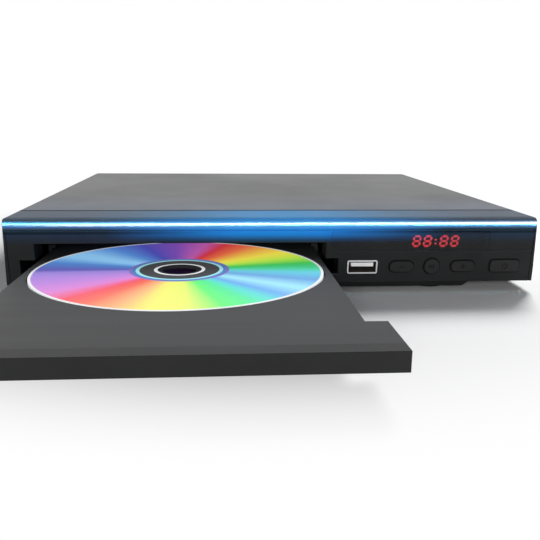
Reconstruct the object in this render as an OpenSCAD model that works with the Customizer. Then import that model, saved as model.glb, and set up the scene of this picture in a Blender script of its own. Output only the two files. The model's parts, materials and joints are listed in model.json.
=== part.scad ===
// Slim disc player with a sliding tray, shown with the tray partly out.
// Millimetres. X runs to the right seen from the front, Y runs to the back, Z is up.
// The origin is on the table, at the centre of the whole footprint with the tray partly out.
// Inside place(), y is the depth behind the front plane of the casing.

/* [Casing] */
// Width of the casing
body_w = 242; // [240:1:246]
// Depth of the casing, front plane to back
body_d = 228; // [226:1:240]
// Height of the front panel
panel_h = 29.6; // [29.4:0.1:31.4]
// Height of the front panel's lower edge above the table
panel_lift = 4.6; // [4.4:0.1:5.6]
// How far the bottom pan hangs below the panel's lower edge
pan_drop = 3.2; // [3:0.1:3.4]
// Width of the dropped pan at its lower face
pan_w = 176; // [170:1:178]
// Sheet thickness of the chassis and cover
sheet = 0.8; // [0.6:0.1:1]
// Radius along the cover's long edges and the front panel's upper corners
cover_r = 3; // [2:0.1:3.6]
// Diameter of the feet
foot_d = 16; // [12:1:20]

/* [Front panel] */
// Depth of the moulded front from the front plane to the cover
fascia_d = 25; // [22:1:30]
// Wall thickness of the moulded front
fascia_wall = 2.2; // [1.8:0.1:2.4]
// Radius of the rounded upper edge
edge_r = 6.5; // [5:0.1:7]
// Angle by which the face leans forward at the top
face_lean = 5.24; // [4:0.1:6]
// Radius of the upright corners
corner_r = 3; // [2:0.1:4]
// How far each end of the front panel draws in from the cover to the face
end_taper = 1.7; // [1:0.1:2]
// Angle by which the front panel's ends draw in towards the bottom
end_draft = 1.8; // [0:0.1:2.4]
// Width and depth of the decorative grooves
groove = 0.4; // [0.3:0.05:0.6]
// Height of the long groove above the panel's lower edge
groove_v = 24.4; // [24:0.1:25]
// Width of the disc slot
slot_w = 128; // [126.6:0.1:129]
// Height of the slot's top above the panel's lower edge
slot_top_v = 18.9; // [18.4:0.1:19.4]
// Height of the band's lower edge above the panel's lower edge
band_v = 15; // [14.4:0.1:15.4]
// Height of the smoked window
window_h = 8.8; // [8.4:0.1:9.2]
// Left edge of the smoked window
window_x0 = 24.2; // [24:0.1:26]
// Right edge of the smoked window
window_x1 = 96.7; // [95:0.1:98]
// Thickness of the smoked window
window_t = 1.2; // [1:0.1:1.4]

/* [Display and sockets] */
// Left edge of the first digit
digits_x = 61.7; // [58:0.1:63]
// Height of a digit
digit_h = 5.5; // [5:0.1:6.4]
// Width of a digit
digit_w = 3.9; // [3.4:0.1:4]
// Step from one digit to the next
digit_step = 5; // [4.8:0.1:5.2]
// Extra step across the colon
colon_step = 2.6; // [2.2:0.1:2.8]
// Width of a lit segment
segment_w = 0.95; // [0.7:0.05:1]
// Left edge of the USB socket
usb_x = 31.8; // [31.4:0.1:32.5]
// Outer width of the USB socket's flange
usb_w = 13.8; // [13.6:0.1:14.4]
// Outer height of the USB socket's flange
usb_h = 6.3; // [6.2:0.1:6.8]
// Width of the flange round the socket's shell
usb_rim = 0.3; // [0.2:0.05:0.4]
// Height of the middle of the sockets and buttons above the panel's lower edge
row_v = 7.4; // [7:0.1:7.8]

/* [Buttons] */
// Middle of the minus button
minus_x = 56.9; // [56:0.1:57.5]
// Middle of the play button
play_x = 71; // [70.5:0.1:71.5]
// Middle of the plus button
plus_x = 85.5; // [85:0.1:86]
// Middle of the power button
power_x = 105.2; // [104:0.1:106]
// Length of the minus and plus buttons
pill_w = 11; // [10:0.1:12]
// Height of the minus and plus buttons
pill_h = 4.9; // [4.6:0.1:5.4]
// Diameter of the play button
play_d = 7; // [6.6:0.1:7.4]
// Width of the power button
power_w = 13.6; // [12:0.1:14]
// Height of the power button
power_h = 5.6; // [5.2:0.1:6]
// How far the buttons stand out of the face
button_out = 0.5; // [0.3:0.05:0.8]
// Travel of the buttons
button_travel = 0.6; // [0.4:0.05:0.6]
// Gap round a button
button_gap = 0.2; // [0.15:0.05:0.3]

/* [Tray] */
// Sideways place of the tray's middle
tray_x = -42.5; // [-43:0.1:-42]
// Width of the tray behind its front block
tray_w = 124.6; // [124:0.1:125]
// Width of the tray's front block
block_w = 139.4; // [138:0.1:140]
// Depth of the tray's front block
block_d = 27.2; // [26:0.1:27.6]
// Height of the tray
tray_h = 6.4; // [6.2:0.1:6.6]
// Depth of the space behind the closed tray
rear_space = 28; // [27:0.5:30]
// Height of the tray's top above the panel's lower edge
tray_top_v = 11; // [10.8:0.1:11.1]
// Distance from the tray's front to the disc's middle
hub_l = 101.5; // [101:0.1:102]
// How far the tray is drawn out from its closed place
tray_out = 118; // [110:0.5:120]
// How far the closed tray stands in front of the front plane
tray_proud = 0.5; // [0.2:0.1:0.8]
// Thickness of the tray's plate
tray_plate = 3.6; // [3.4:0.1:3.8]
// Width of the tray's rails
rail_w = 3; // [2.4:0.1:3.4]
// Depth of the tray's front trim
trim_t = 6.5; // [6:0.1:7]
// Wall thickness of the tray's front trim
trim_wall = 1.6; // [1.2:0.1:1.8]
// Gap round the tray's front block in the panel
block_gap = 0.5; // [0.4:0.05:0.6]
// Running gap of sliding faces
run_gap = 0.05; // [0.03:0.01:0.08]

/* [Disc] */
// Diameter of the disc
disc_d = 120; // [118:0.5:120]
// Diameter of the disc's hole
disc_hole = 15; // [14.9:0.1:15.1]
// Thickness of the disc
disc_t = 1.2; // [1.1:0.05:1.25]
// Depth of the disc's well
well_depth = 1.4; // [1.35:0.05:1.5]
// Gap round the disc in its well
well_gap = 0.8; // [0.6:0.1:0.9]
// Diameter of the inner well for small discs
small_well_d = 81; // [80:0.5:82]
// Depth of the inner well below the well
small_well_depth = 0.9; // [0.6:0.1:1]

/* [Loader] */
// Tooth module of the rack and its pinion
rack_m = 1; // [0.95:0.05:1]
// Teeth of the rack's pinion
pinion_n = 18; // [17:1:18]
// Tooth module of the wheel and the pulley's gear
wheel_m = 0.8; // [0.75:0.05:0.8]
// Teeth of the drive wheel
wheel_n = 40; // [38:2:40]
// Teeth of the pulley's gear
small_n = 14; // [14:2:14]
// Backlash of each pair of teeth
tooth_slack = 0.16; // [0.12:0.01:0.2]
// Sideways place of the pinion's axis from the tray's middle
drive_dx = 35; // [34:0.5:36]
// Depth of the gears' axes behind the front plane
drive_y = 24; // [23.5:0.5:25]
// Diameter of the pulley
pulley_d = 21.6; // [20:0.2:22]
// Diameter of the motor's pulley
motor_pulley_d = 8; // [7:0.2:9]
// Distance from the pulley's axis to the motor's axis
belt_l = 35.4; // [34:0.2:37]
// Thickness of the belt
belt_t = 1.2; // [1:0.1:1.4]
// Diameter of the loading motor
motor_d = 20; // [18:1:21]
// Diameter of the gears' posts
post_d = 4; // [3.6:0.1:4.4]
// Wall thickness of the loader frame
frame_t = 2; // [1.6:0.1:2.2]
// Height of the loader frame's side walls above the tray's top
frame_rise = 1.9; // [1.7:0.1:2.2]
// Width of the clamp bridge
bridge_w = 28; // [28:1:30]
// Diameter of the clamper's hole in the bridge
clamp_hole = 21; // [20.6:0.1:22]

/* [Traverse] */
// Diameter of the turntable
turntable_d = 26; // [24:0.5:26]
// Diameter of the spindle motor
spindle_d = 24; // [22:0.5:24]
// Diameter of the guide rods
rod_d = 3; // [2.6:0.1:3]
// Distance from the disc's middle line to each guide rod
rod_dx = 24; // [23:0.5:24.5]
// Radius on the disc at which the lens rests
lens_r = 30; // [30:0.5:32]
// Length of the pickup sled
sled_l = 22; // [20:0.5:22]
// Diameter of the lead screw
screw_d = 2.6; // [2.2:0.1:2.8]
// Distance from the disc's middle line to the lead screw
screw_dx = 31.5; // [31:0.1:32]

/* [Boards and rear] */
// Thickness of the circuit boards
board_t = 1.6; // [1.2:0.1:1.8]
// Height of the boards' lower faces above the table
board_z = 9; // [8.8:0.1:9.6]
// How far the jack barrels stand out of the back
jack_out = 8.5; // [7:0.1:10]
// Diameter of a jack barrel
jack_d = 8.3; // [8:0.1:8.6]
// Diameter of a jack's coloured collar
collar_d = 12.6; // [12:0.1:13]
// Step from one jack to the next
jack_step = 14; // [14:0.5:15]
// Middle of the first jack
jack_x = 62; // [62:0.5:64]
// Middle of the HDMI socket
hdmi_x = 42; // [41:0.5:43]
// Middle of the mains inlet
inlet_x = -92; // [-94:0.5:-88]
// Step between vent slots
vent_step = 6; // [5.5:0.5:8]
// Width of a vent slot
vent_w = 2.4; // [2:0.1:2.8]

/* [Hidden] */
$fn = 64;

// Clearances
slit = 0.1;                 // between faces that stand still
flush = 0.3;                // between the cover and the moulded front
pin_gap = 0.05;             // round a pin in its bore
bury = 1;                   // how far a cutter runs past a face

// Heights of the casing
top_z = panel_lift + panel_h;
pan_z = panel_lift - pan_drop;
pan_in = pan_z + sheet;
flange_z = panel_lift + 0.6;
flange_top = flange_z + sheet;
flange_low = -0.2;                              // the rear wall ends level with the flange
roof_z = top_z - sheet;
side_x = body_w / 2;
tongue_in = sheet + slit;                       // the moulded front's lip lies inside the cover
tongue_t = 1.2;
tongue_l = 4;
flange_x = side_x - sheet - slit;
front_x = side_x - end_taper;                   // half the width of the face at its upper edge
end_in = (top_z - cover_r - panel_lift) * tan(end_draft);
flange_front_x = front_x - end_in - fascia_wall - flush;
flange_y = 3.6;
wide_y = fascia_d + tongue_l + 2;
rear_y = body_d - sheet - slit;                 // outer face of the rear wall
rear_in = rear_y - sheet;
lip_h = 7;
pan_slope = 4.6;
pan_y0 = flange_y;
pan_y1 = rear_in - 2;

// Tray at rest
tray_l = body_d - rear_space + tray_proud;
front_gap_y = tray_proud + tray_out;
tray_y = -front_gap_y;                          // front face of the tray
front_y = (front_gap_y - body_d - jack_out) / 2;
tray_top = panel_lift + tray_top_v;
tray_z = tray_top - tray_h;
plate_z = tray_top - tray_plate;
tray_end = tray_y + tray_l;
block_end = tray_y + block_d;
hub_y = tray_y + hub_l;                         // disc's middle at rest
spindle_y = hub_l - tray_proud;                 // disc's middle with the tray closed
closed_end = tray_l - tray_proud;
trim_tabs = [tray_x - 50, tray_x, tray_x + 50];
trim_tab_z = tray_z + 0.8;
neck_x = tray_w / 2;
block_x = block_w / 2;
disc_z = tray_top - well_depth + 0.1;
well_d = disc_d + 2 * well_gap;

// Slot and dust flap
slot_x = tray_x + 0.4;
slot_top = panel_lift + slot_top_v;
slot_x0 = slot_x - slot_w / 2;
slot_x1 = slot_x + slot_w / 2;
wing_top = tray_top + block_gap;
wing_z = tray_z - block_gap;
wing_x0 = tray_x - block_x - block_gap;
wing_x1 = tray_x + block_x + block_gap;
jamb_t = 1.6;
jamb_y = 12;
flap_t = 1.2;
flap_y = 5.4;
flap_z = slot_top + 1.4;
flap_h = flap_z - tray_top - 0.8;
flap_pin_d = 1.6;
flap_side = 0.4;

// Loader frame
wall_x = neck_x + 0.6;
wall_out = wall_x + frame_t;
wall_top = tray_top + frame_rise;
wall_y0 = block_d - tray_proud + 1.6;
frame_y0 = 6.4;
frame_y1 = closed_end + 0.8 + frame_t;
ledge_top = tray_z - run_gap;
ledge_z = flange_top + slit;
floor_z = pan_in + 1.2;
floor_top = floor_z + 1.6;
floor_x0 = -43;
floor_x1 = 56;
inner_x = 43;
gear_y1 = 45;
floor_front_y1 = spindle_y - spindle_d / 2 - 1;
floor_rear_y0 = spindle_y + 65;
tab_in = 1.4;
tab_l = 8;
tab_gap = 0.3;

// Gears
pressure = 20;                                  // pressure angle of the teeth
pinion_r = pinion_n * rack_m / 2;
wheel_r = wheel_n * wheel_m / 2;
small_r = small_n * wheel_m / 2;
drive_x = tray_x + drive_dx;
pulley_x = drive_x - wheel_r - small_r;
motor_x = pulley_x - belt_l;
wheel_z = floor_top + 0.5;
wheel_h = 2.1;
wheel_top = wheel_z + wheel_h;
pinion_top = plate_z - 0.3;
pitch_x = drive_x + pinion_r;
rack_back = 1.25 * rack_m;
rack_t = 2.8;
rack_z = tray_z + 0.2;
rack_y0 = drive_y - tray_out - 2 * rack_m * PI;
rack_y1 = tray_end - 11;
belt_w = 1.2;
belt_z = wheel_top + 1.2;
pulley_top = belt_z + belt_w + 0.6;
sheave = 0.9;                                   // depth of a pulley's groove
belt_r1 = pulley_d / 2 - sheave + pin_gap;
belt_r2 = motor_pulley_d / 2 - sheave + pin_gap;
motor_z = pan_in + 0.1;
motor_top = belt_z - 0.9;

// Clamp
bridge_z = wall_top;
bridge_t = 1;
bridge_x = wall_out + 1.6;
clamp_d = clamp_hole + 6;
clamp_z = tray_top + 0.6;
clamp_pad_t = 1;
clamp_neck = clamp_hole - 1.4;
clamp_hang = 0.1;
clamp_cap_t = 3;
magnet_d = 15;
magnet_t = 2;

// Traverse
base_z = floor_top + 0.8;
base_t = 1;
base_top = base_z + base_t;
base_x = 38;
base_y0 = spindle_y - 22;
base_y1 = spindle_y + 76;
grommet_dx = 33;
grommet_y0 = base_y0 + 4.6;
grommet_y1 = base_y1 - 4.6;
grommet_d = 8;
grommet_top = base_top + 0.8;
rod_z = base_top + rod_d / 2 + 0.1;
rod_y0 = spindle_y + spindle_d / 2 - 2;
rod_y1 = base_y1 - 3;
clip_l = 2;
sled_y = spindle_y + lens_r;
sled_z = base_top + 0.4;
sled_top = plate_z - 1.4;
sled_x = rod_dx + 3.2;
lens_d = 6.6;
window_half = 19.5;
screw_z = base_top + 1.9;
screw_y0 = spindle_y + 9;
screw_y1 = base_y1 - 9;
sled_motor_l = 13;
turntable_z = base_top + 1.4;
turntable_t = 1.6;
cone_top = plate_z - 0.4;
cone_d = disc_hole - 0.2;
shaft_d = 2;
motor_base_z = pan_in + 0.8;

// Front board, in the leaning frame of the face
board_w0 = -12.2;                               // front face of the front board
board_v0 = row_v - 3.4;
board_v1 = board_v0 + 21.6;
board_x0 = slot_x1 + 9;
board_x1 = front_x - fascia_wall - 2;
boss_d = 5;
switch_t = 3.6;
stem_d = 3.2;
stem_l = 1.6;
stem_tip = board_w0 + switch_t + stem_l;
plunger_end = stem_tip + button_travel + slit;
flange_t = 1;
flange_out = 1;
usb_body_w = usb_w - 2 * usb_rim;
usb_body_h = usb_h - 2 * usb_rim;
usb_wall = 0.3;
module_t = 5;
module_w = 4 * digit_step + colon_step + 2.4;
module_h = digit_h + 1.8;
digit_v = band_v + 1.2;
ir_x = digits_x - 9;

// Boards behind
lug_r = wall_out + 3.4;
main_l = 110.8;
main_x0 = tray_x + lug_r + 7.2;
main_x1 = side_x - 5;
main_y1 = rear_in - 3.5;
main_y0 = main_y1 - main_l;
board_top = board_z + board_t;
power_x0 = -side_x + 8;
power_x1 = main_x0 - 11;
power_y0 = frame_y1 + 1.6;
power_y1 = rear_in - 1.6;
coil_x = power_x0 + 70;                         // middle of the transformer
decoder_w = 20;
sink_h = 7;
chip_t = 1.2;
can_d = 6.3;                                    // the usual capacitor
can_h = 9;
flex_w = 14;
flex_y0 = main_y0 + 38;
jack_z = board_top + 11.2;
socket_y = 14;                                  // depth of the jack block
hdmi_w = 15;
hdmi_h = 5.6;
hdmi_l = 11;
inlet_w = 17.4;
inlet_h = 8.6;
inlet_wall = 2;
inlet_l = 14;
inlet_deep = 10;
inlet_z = board_top + inlet_h / 2 + inlet_wall;
pin_step = 8.6;
pin_d = 2.3;
standoff_d = 6;
ribbon_x = 72;
plug_l = 3.6;
plug_top = board_top + 5;
screw_hole = 2.6;

// Screw places
main_spots = [for (y = [main_y0 + 5, main_y0 + 78], x = [main_x0 + 5, main_x1 - 30]) [x, y]];
power_spots = [[inlet_x + 14, power_y0 + 9], [power_x1 - 12, power_y0 + 9]];
frame_spots = [for (y = [wall_y0 + 23.7, frame_y1 - 16.8], sx = [-1, 1]) [tray_x + sx * lug_r, y]];
cover_side_y = [fascia_d + 35, rear_y - 37.1];
cover_rear_x = [-60, 8, side_x - 14];
foot_x = pan_w / 2 - 14;
foot_y0 = 17;
foot_y1 = body_d - 26;
key_x = [minus_x, play_x, plus_x, power_x];
front_spots = [[board_x0 + 11.6, board_v1 - 3], [board_x1 - 3.4, board_v1 - 3],
    [board_x0 + 3.4, board_v1 - 11.5], [board_x1 - 3.4, board_v1 - 11.5]];
grommet_spots = [for (sx = [-1, 1], y = [grommet_y0, grommet_y1]) [tray_x + sx * grommet_dx, y]];

echo(origin_depth = front_y, spindle = spindle_y, drive = [drive_x, drive_y], pulley = pulley_x,
    motor = motor_x, flap = [flap_y, flap_z], belt_radii = [belt_r1, belt_r2]);

// ---- Helpers ----

// Moves from the casing's own depth to the model's frame
module place() {
    translate([0, front_y, 0]) children();
}

// A box given by its limits along X, Y and Z
module span(xs, ys, zs) {
    translate([xs[0], ys[0], zs[0]]) cube([xs[1] - xs[0], ys[1] - ys[0], zs[1] - zs[0]]);
}

// An upright cylinder between two heights
module post(x, y, zs, d) {
    translate([x, y, zs[0]]) cylinder(d = d, h = zs[1] - zs[0]);
}

// A cylinder lying along Y
module rod(x, ys, z, d) {
    translate([x, ys[0], z]) rotate([-90, 0, 0]) cylinder(d = d, h = ys[1] - ys[0]);
}

// Depth of the leaning face at a height
function face_y(z) = 1 - (z - panel_lift) * tan(face_lean);

// The face's own frame: x as before, y up along the face, z out of the face
module facing() {
    translate([0, face_y(panel_lift), panel_lift]) rotate([90 + face_lean, 0, 0]) children();
}

// Points of an arc
function arc(c, r, a0, a1, n = 14) =
    [for (i = [0:n]) c + r * [cos(a0 + (a1 - a0) * i / n), sin(a0 + (a1 - a0) * i / n)]];

// A flat shape with round ends
module pill(w, h) {
    square([w - h, h], center = true);
    for (sx = [-1, 1]) translate([sx * (w - h) / 2, 0]) circle(d = h);
}

// A rectangle with rounded corners
module round_rect(w, h, r) {
    square([w - 2 * r, h], center = true);
    square([w, h - 2 * r], center = true);
    for (sx = [-1, 1], sy = [-1, 1]) translate([sx * (w / 2 - r), sy * (h / 2 - r)]) circle(r = r);
}

// ---- Gear teeth ----

// Angle between the start of an involute and where its own pressure angle is a
function roll_off(a) = tan(a) * 180 / PI - a;

// Half the angle that a tooth fills at radius r
function tooth_half(r, base_r, half) = half + roll_off(pressure) - roll_off(acos(min(1, base_r / r)));

// Outline of a spur gear with n involute teeth of module m, with a tooth on the +X axis
function gear_points(n, m, steps = 4) =
    let (pitch_r = n * m / 2, base_r = pitch_r * cos(pressure), tip_r = pitch_r + m,
        root_r = pitch_r - 1.25 * m, start_r = max(base_r, root_r),
        half = 90 / n - tooth_slack * 90 / (PI * pitch_r))
    [for (k = [0:n - 1]) let (c = 360 * k / n, w0 = tooth_half(start_r, base_r, half)) each concat(
        root_r < start_r ? [root_r * [cos(c - w0), sin(c - w0)]] : [],
        [for (i = [0:steps]) let (r = start_r + (tip_r - start_r) * i / steps,
            w = tooth_half(r, base_r, half)) r * [cos(c - w), sin(c - w)]],
        [for (i = [steps:-1:0]) let (r = start_r + (tip_r - start_r) * i / steps,
            w = tooth_half(r, base_r, half)) r * [cos(c + w), sin(c + w)]],
        root_r < start_r ? [root_r * [cos(c + w0), sin(c + w0)]] : [])];

// A toothed wheel of height h, turned by a, round an upright bore
module spur(n, m, h, a = 0) {
    rotate(a) linear_extrude(h) polygon(gear_points(n, m));
}

// Outline of the rack, with its pitch line on x = 0 and its teeth towards -x
function rack_points() =
    let (pitch = PI * rack_m, half = (pitch / 2 - tooth_slack) / 2, slope = tan(pressure),
        first = ceil((rack_y0 - drive_y) / pitch), last = floor((rack_y1 - drive_y) / pitch) - 1)
    concat([[rack_back, rack_y0]],
        [for (k = [first:last]) let (y = drive_y + (k + 0.5) * pitch) each [
            [rack_back, y - half - rack_back * slope], [-rack_m, y - half + rack_m * slope],
            [-rack_m, y + half - rack_m * slope], [rack_back, y + half + rack_back * slope]]],
        [[rack_back, rack_y1], [rack_back + rack_t, rack_y1], [rack_back + rack_t, rack_y0]]);

// ---- Casing ----

// The pan's outline dropped below the flange, drawn in by an inset
module pan_block(inset, z0, z1) {
    slope_x = pan_w / 2 + pan_slope;
    intersection() {
        translate([0, pan_y1 + bury, 0]) rotate([90, 0, 0]) linear_extrude(pan_y1 + 2 * bury)
            polygon([[-slope_x + inset, z1], [-pan_w / 2 + inset, z0], [pan_w / 2 - inset, z0],
                [slope_x - inset, z1]]);
        translate([-side_x, 0, 0]) rotate([90, 0, 90]) linear_extrude(body_w)
            polygon([[pan_y0 + inset, z1], [pan_y0 + inset + 2, z0],
                [pan_y1 - inset - pan_slope, z0], [pan_y1 - inset, z1]]);
    }
}

// Rows of vent slots along X, each slot running along Y
module floor_vents(xs, ys) {
    for (x = [xs[0]:vent_step:xs[1]])
        span([x, x + vent_w], ys, [pan_z - bury, flange_top + bury]);
}

module bottom_chassis() place() color("#8f9295") {
    difference() {
        union() {
            span([-flange_front_x, flange_front_x], [flange_y, wide_y], [flange_z, flange_top]);
            span([-flange_x, flange_x], [wide_y, rear_y], [flange_z, flange_top]);
            pan_block(0, pan_z, flange_top);
            cover_shell(sheet + slit, roof_z - slit, rear_in, rear_y, flange_low);
            for (sx = [-1, 1]) span(sx > 0 ? [flange_x - sheet, flange_x] : [-flange_x, sheet - flange_x],
                [wide_y, rear_y], [flange_z, flange_top + lip_h]);
        }
        pan_block(sheet, pan_in, flange_top + bury);
        floor_vents([main_x0 + 12, main_x0 + 44], [main_y0 + 16, main_y0 + 64]);
        floor_vents([tray_x - 27.5, tray_x + 32.5], [spindle_y + 11, spindle_y + 49]);
        rear_openings();
        for (y = cover_side_y, sx = [-1, 1]) translate([sx * flange_x, y, flange_top + lip_h / 2])
            rotate([0, 90, 0]) cylinder(d = 2.4, h = 4, center = true);
        for (x = cover_rear_x) rod(x, [rear_in - bury, rear_y + bury], top_z - 4.4, 2.4);
    }
    chassis_posts();
}

// Openings for the sockets and the rear vents
module rear_openings() {
    ys = [rear_in - bury, rear_y + bury];
    for (i = [0:2]) rod(jack_x + i * jack_step, ys, jack_z, collar_d + 2 * slit);
    span([hdmi_x - hdmi_w / 2 - slit, hdmi_x + hdmi_w / 2 + slit], ys,
        [board_top - slit, board_top + hdmi_h + slit]);
    span([inlet_x - inlet_w / 2 - inlet_wall - slit, inlet_x + inlet_w / 2 + inlet_wall + slit], ys,
        [inlet_z - inlet_h / 2 - inlet_wall - slit, inlet_z + inlet_h / 2 + inlet_wall + slit]);
    for (x = [-64:vent_step:16]) span([x, x + vent_w], ys, [top_z - 19, top_z - 9.6]);
}

// Standoffs and posts that stand on the pan and its flange
module chassis_posts() {
    for (p = main_spots) difference() {
        post(p[0], p[1], [pan_in, board_z], standoff_d);
        post(p[0], p[1], [pan_in + 2, board_z + bury], screw_hole - 0.4);
    }
    for (p = power_spots) difference() {
        post(p[0], p[1], [pan_in, board_z], standoff_d);
        post(p[0], p[1], [pan_in + 2, board_z + bury], screw_hole - 0.4);
    }
    for (p = frame_spots) post(p[0], p[1], [abs(p[0]) < pan_w / 2 ? pan_in : flange_top, ledge_z], 5.6);
    for (p = [[6, gear_y1 + 13], [-34, spindle_y - 17], [50, frame_y0 + 5.6], [-38, frame_y0 + 7.6],
        [20, floor_rear_y0 + 12]]) post(tray_x + p[0], p[1], [pan_in, floor_z], 7);
}

module top_cover() place() color("#3c3f42") {
    difference() {
        union() {
            cover_shell(0, top_z, fascia_d + flush, rear_y + slit);
            span([-side_x + cover_r, side_x - cover_r], [rear_y + slit, body_d], [top_z - lip_h, top_z]);
        }
        cover_shell(sheet, roof_z, fascia_d + flush - bury, rear_y + slit + bury, 2 * bury);
        for (y = cover_side_y) translate([0, y, flange_top + lip_h / 2]) rotate([0, 90, 0])
            cylinder(d = 3.2, h = body_w + 2, center = true);
        for (x = cover_rear_x) rod(x, [rear_y, body_d + bury], top_z - 4.4, 3.2);
        for (y = [92:vent_step:158]) span([-side_x - bury, side_x + bury], [y, y + vent_w],
            [top_z - 16, top_z - 8]);
    }
}

// The cover's folded outline, open below, between two depths
module cover_shell(inset, z1, y0, y1, down = 0) {
    x = side_x - inset;
    r = cover_r - inset;
    translate([0, y1, 0]) rotate([90, 0, 0]) linear_extrude(y1 - y0)
        polygon(concat([[x, panel_lift + 0.4 - down]], arc([x - r, z1 - r], r, 0, 90, 6),
            arc([r - x, z1 - r], r, 90, 180, 6), [[-x, panel_lift + 0.4 - down]]));
}

// Side outline of the moulded front, drawn in by an inset, as [depth, height] points
function fascia_side(inset) =
    let (r = edge_r - inset, cz = top_z - edge_r, cy = face_y(cz) + edge_r / cos(face_lean),
        low_y = face_y(panel_lift) + inset / cos(face_lean))
    concat([[low_y + (inset > 0 ? bury : 0) * tan(face_lean), panel_lift - (inset > 0 ? bury : 0)]],
        arc([cy, cz], r, 180 + face_lean, 90, 16),
        [[fascia_d, top_z - inset], [fascia_d, panel_lift - (inset > 0 ? bury : 0)]]);

// Plan outline of the moulded front: ends that draw in towards round upright corners
function fascia_plan(inset) =
    let (back_x = side_x - inset, x = front_x - inset, r = corner_r - inset / 2,
        y0 = face_y(top_z - edge_r) + inset - 0.4)
    concat([[back_x, fascia_d + bury], [back_x, fascia_d]], arc([x - r, y0 + r], r, 0, -90, 8),
        arc([r - x, y0 + r], r, -90, -180, 8), [[-back_x, fascia_d], [-back_x, fascia_d + bury]]);

// Front outline with round upper corners and ends that draw in downwards
module fascia_ends(inset, y1) {
    x = side_x - inset;
    r = max(0.4, cover_r - inset);
    low_z = panel_lift - bury;
    low_x = x - (top_z - cover_r - low_z) * tan(end_draft);
    translate([0, y1, 0]) rotate([90, 0, 0]) linear_extrude(y1 + 5)
        polygon(concat([[low_x, low_z]], arc([x - r, top_z - inset - r], r, 0, 90, 6),
            arc([r - x, top_z - inset - r], r, 90, 180, 6), [[-low_x, low_z]]));
}

module fascia_form(inset) {
    intersection() {
        translate([inset - side_x, 0, 0]) rotate([90, 0, 90]) linear_extrude(body_w - 2 * inset)
            polygon(fascia_side(inset));
        linear_extrude(top_z + bury) polygon(fascia_plan(inset));
        fascia_ends(inset, fascia_d + bury);
    }
}

// The lip that lies under the cover's front edge
module fascia_tongue() {
    difference() {
        intersection() {
            cover_shell(tongue_in, top_z - tongue_in, fascia_d - 2, fascia_d + tongue_l);
            fascia_ends(0, fascia_d + tongue_l + bury);
        }
        cover_shell(tongue_in + tongue_t, top_z - tongue_in - tongue_t, fascia_d - 2 - bury,
            fascia_d + tongue_l + bury, 2 * bury);
    }
}

// Slot for the disc above, and the wider opening for the tray's front block below
module slot_cut(ys) {
    span([slot_x0, slot_x1], ys, [wing_z, slot_top]);
    span([wing_x0, wing_x1], ys, [wing_z, wing_top]);
}

// Walls beside the slot that guide the flap's pins, and walls round the block's wings
module slot_walls() {
    y0 = 1.6;
    for (s = [[slot_x0 - jamb_t, slot_x0], [slot_x1, slot_x1 + jamb_t]])
        span(s, [y0, jamb_y], [wing_top, flap_z + 2.4]);
    for (s = [[wing_x0 - jamb_t, wing_x0], [wing_x1, wing_x1 + jamb_t]])
        span(s, [y0, jamb_y], [wing_z, wing_top + jamb_t]);
    span([wing_x0 - jamb_t, slot_x0], [y0, jamb_y], [wing_top, wing_top + jamb_t]);
    span([slot_x1, wing_x1 + jamb_t], [y0, jamb_y], [wing_top, wing_top + jamb_t]);
}

module button_hole(x, w, h, r) {
    translate([x, row_v, -fascia_wall - bury]) linear_extrude(fascia_wall + 2 * bury) {
        if (r > 0) round_rect(w + 2 * button_gap, h + 2 * button_gap, r + button_gap);
        else pill(w + 2 * button_gap, h + 2 * button_gap);
    }
}

module front_fascia() place() color("#26282b") {
    difference() {
        union() {
            difference() {
                fascia_form(0);
                fascia_form(fascia_wall);
            }
            fascia_tongue();
            slot_walls();
        }
        slot_cut([-4, jamb_y + bury]);
        facing() {
            window_cut();
            button_hole(minus_x, pill_w, pill_h, 0);
            button_hole(plus_x, pill_w, pill_h, 0);
            translate([play_x, row_v, -fascia_wall - bury])
                cylinder(d = play_d + 2 * button_gap, h = fascia_wall + 2 * bury);
            button_hole(power_x, power_w, power_h, 1.6);
            usb_cut();
        }
        face_grooves();
        for (x = [slot_x0 - jamb_t - bury, slot_x1 - bury]) translate([x, flap_y, flap_z])
            rotate([0, 90, 0]) cylinder(d = flap_pin_d + 2 * pin_gap, h = jamb_t + 2 * bury);
    }
    facing() for (p = front_spots) difference() {
        translate([p[0], p[1], board_w0]) cylinder(d = boss_d, h = -board_w0 - fascia_wall + 0.4);
        translate([p[0], p[1], board_w0 - bury]) cylinder(d = 1.8, h = 6 + bury);
    }
}

// Recess for the smoked window, open behind the digits and the receiver
module window_cut() {
    translate([window_x0, band_v, -window_t]) cube([window_x1 - window_x0, window_h, window_t + bury]);
    translate([digits_x - 1.4, digit_v - 1.1, -fascia_wall - bury])
        cube([module_w + 0.4, module_h + 0.4, fascia_wall + bury]);
    translate([ir_x, digit_v + digit_h / 2, -fascia_wall - bury]) cylinder(d = 6.4, h = fascia_wall + bury);
}

module usb_cut() {
    w = usb_body_w + 2 * slit;
    h = usb_body_h + 2 * slit;
    translate([usb_x + usb_w / 2 - w / 2, row_v - h / 2, -fascia_wall - bury])
        cube([w, h, fascia_wall + 2 * bury]);
}

// Shallow lines along the face, round the ends, and round the bare plate at the right
module face_grooves() {
    for (sx = [-1, 1]) intersection() {
        translate([sx * (front_x - end_in - 1) - groove / 2, 0, 0]) span([0, groove], [-5, edge_r],
            [panel_lift - bury, panel_lift + groove_v]);
        difference() {
            fascia_form(-bury);
            fascia_form(groove);
        }
    }
    facing() {
        translate([-side_x - bury, groove_v, -2 * groove]) cube([body_w + 2 * bury, groove, 2 * groove + bury]);
        translate([slot_x1 + 4, band_v - groove, -groove]) cube([side_x, groove, groove + bury]);
    }
}

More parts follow.
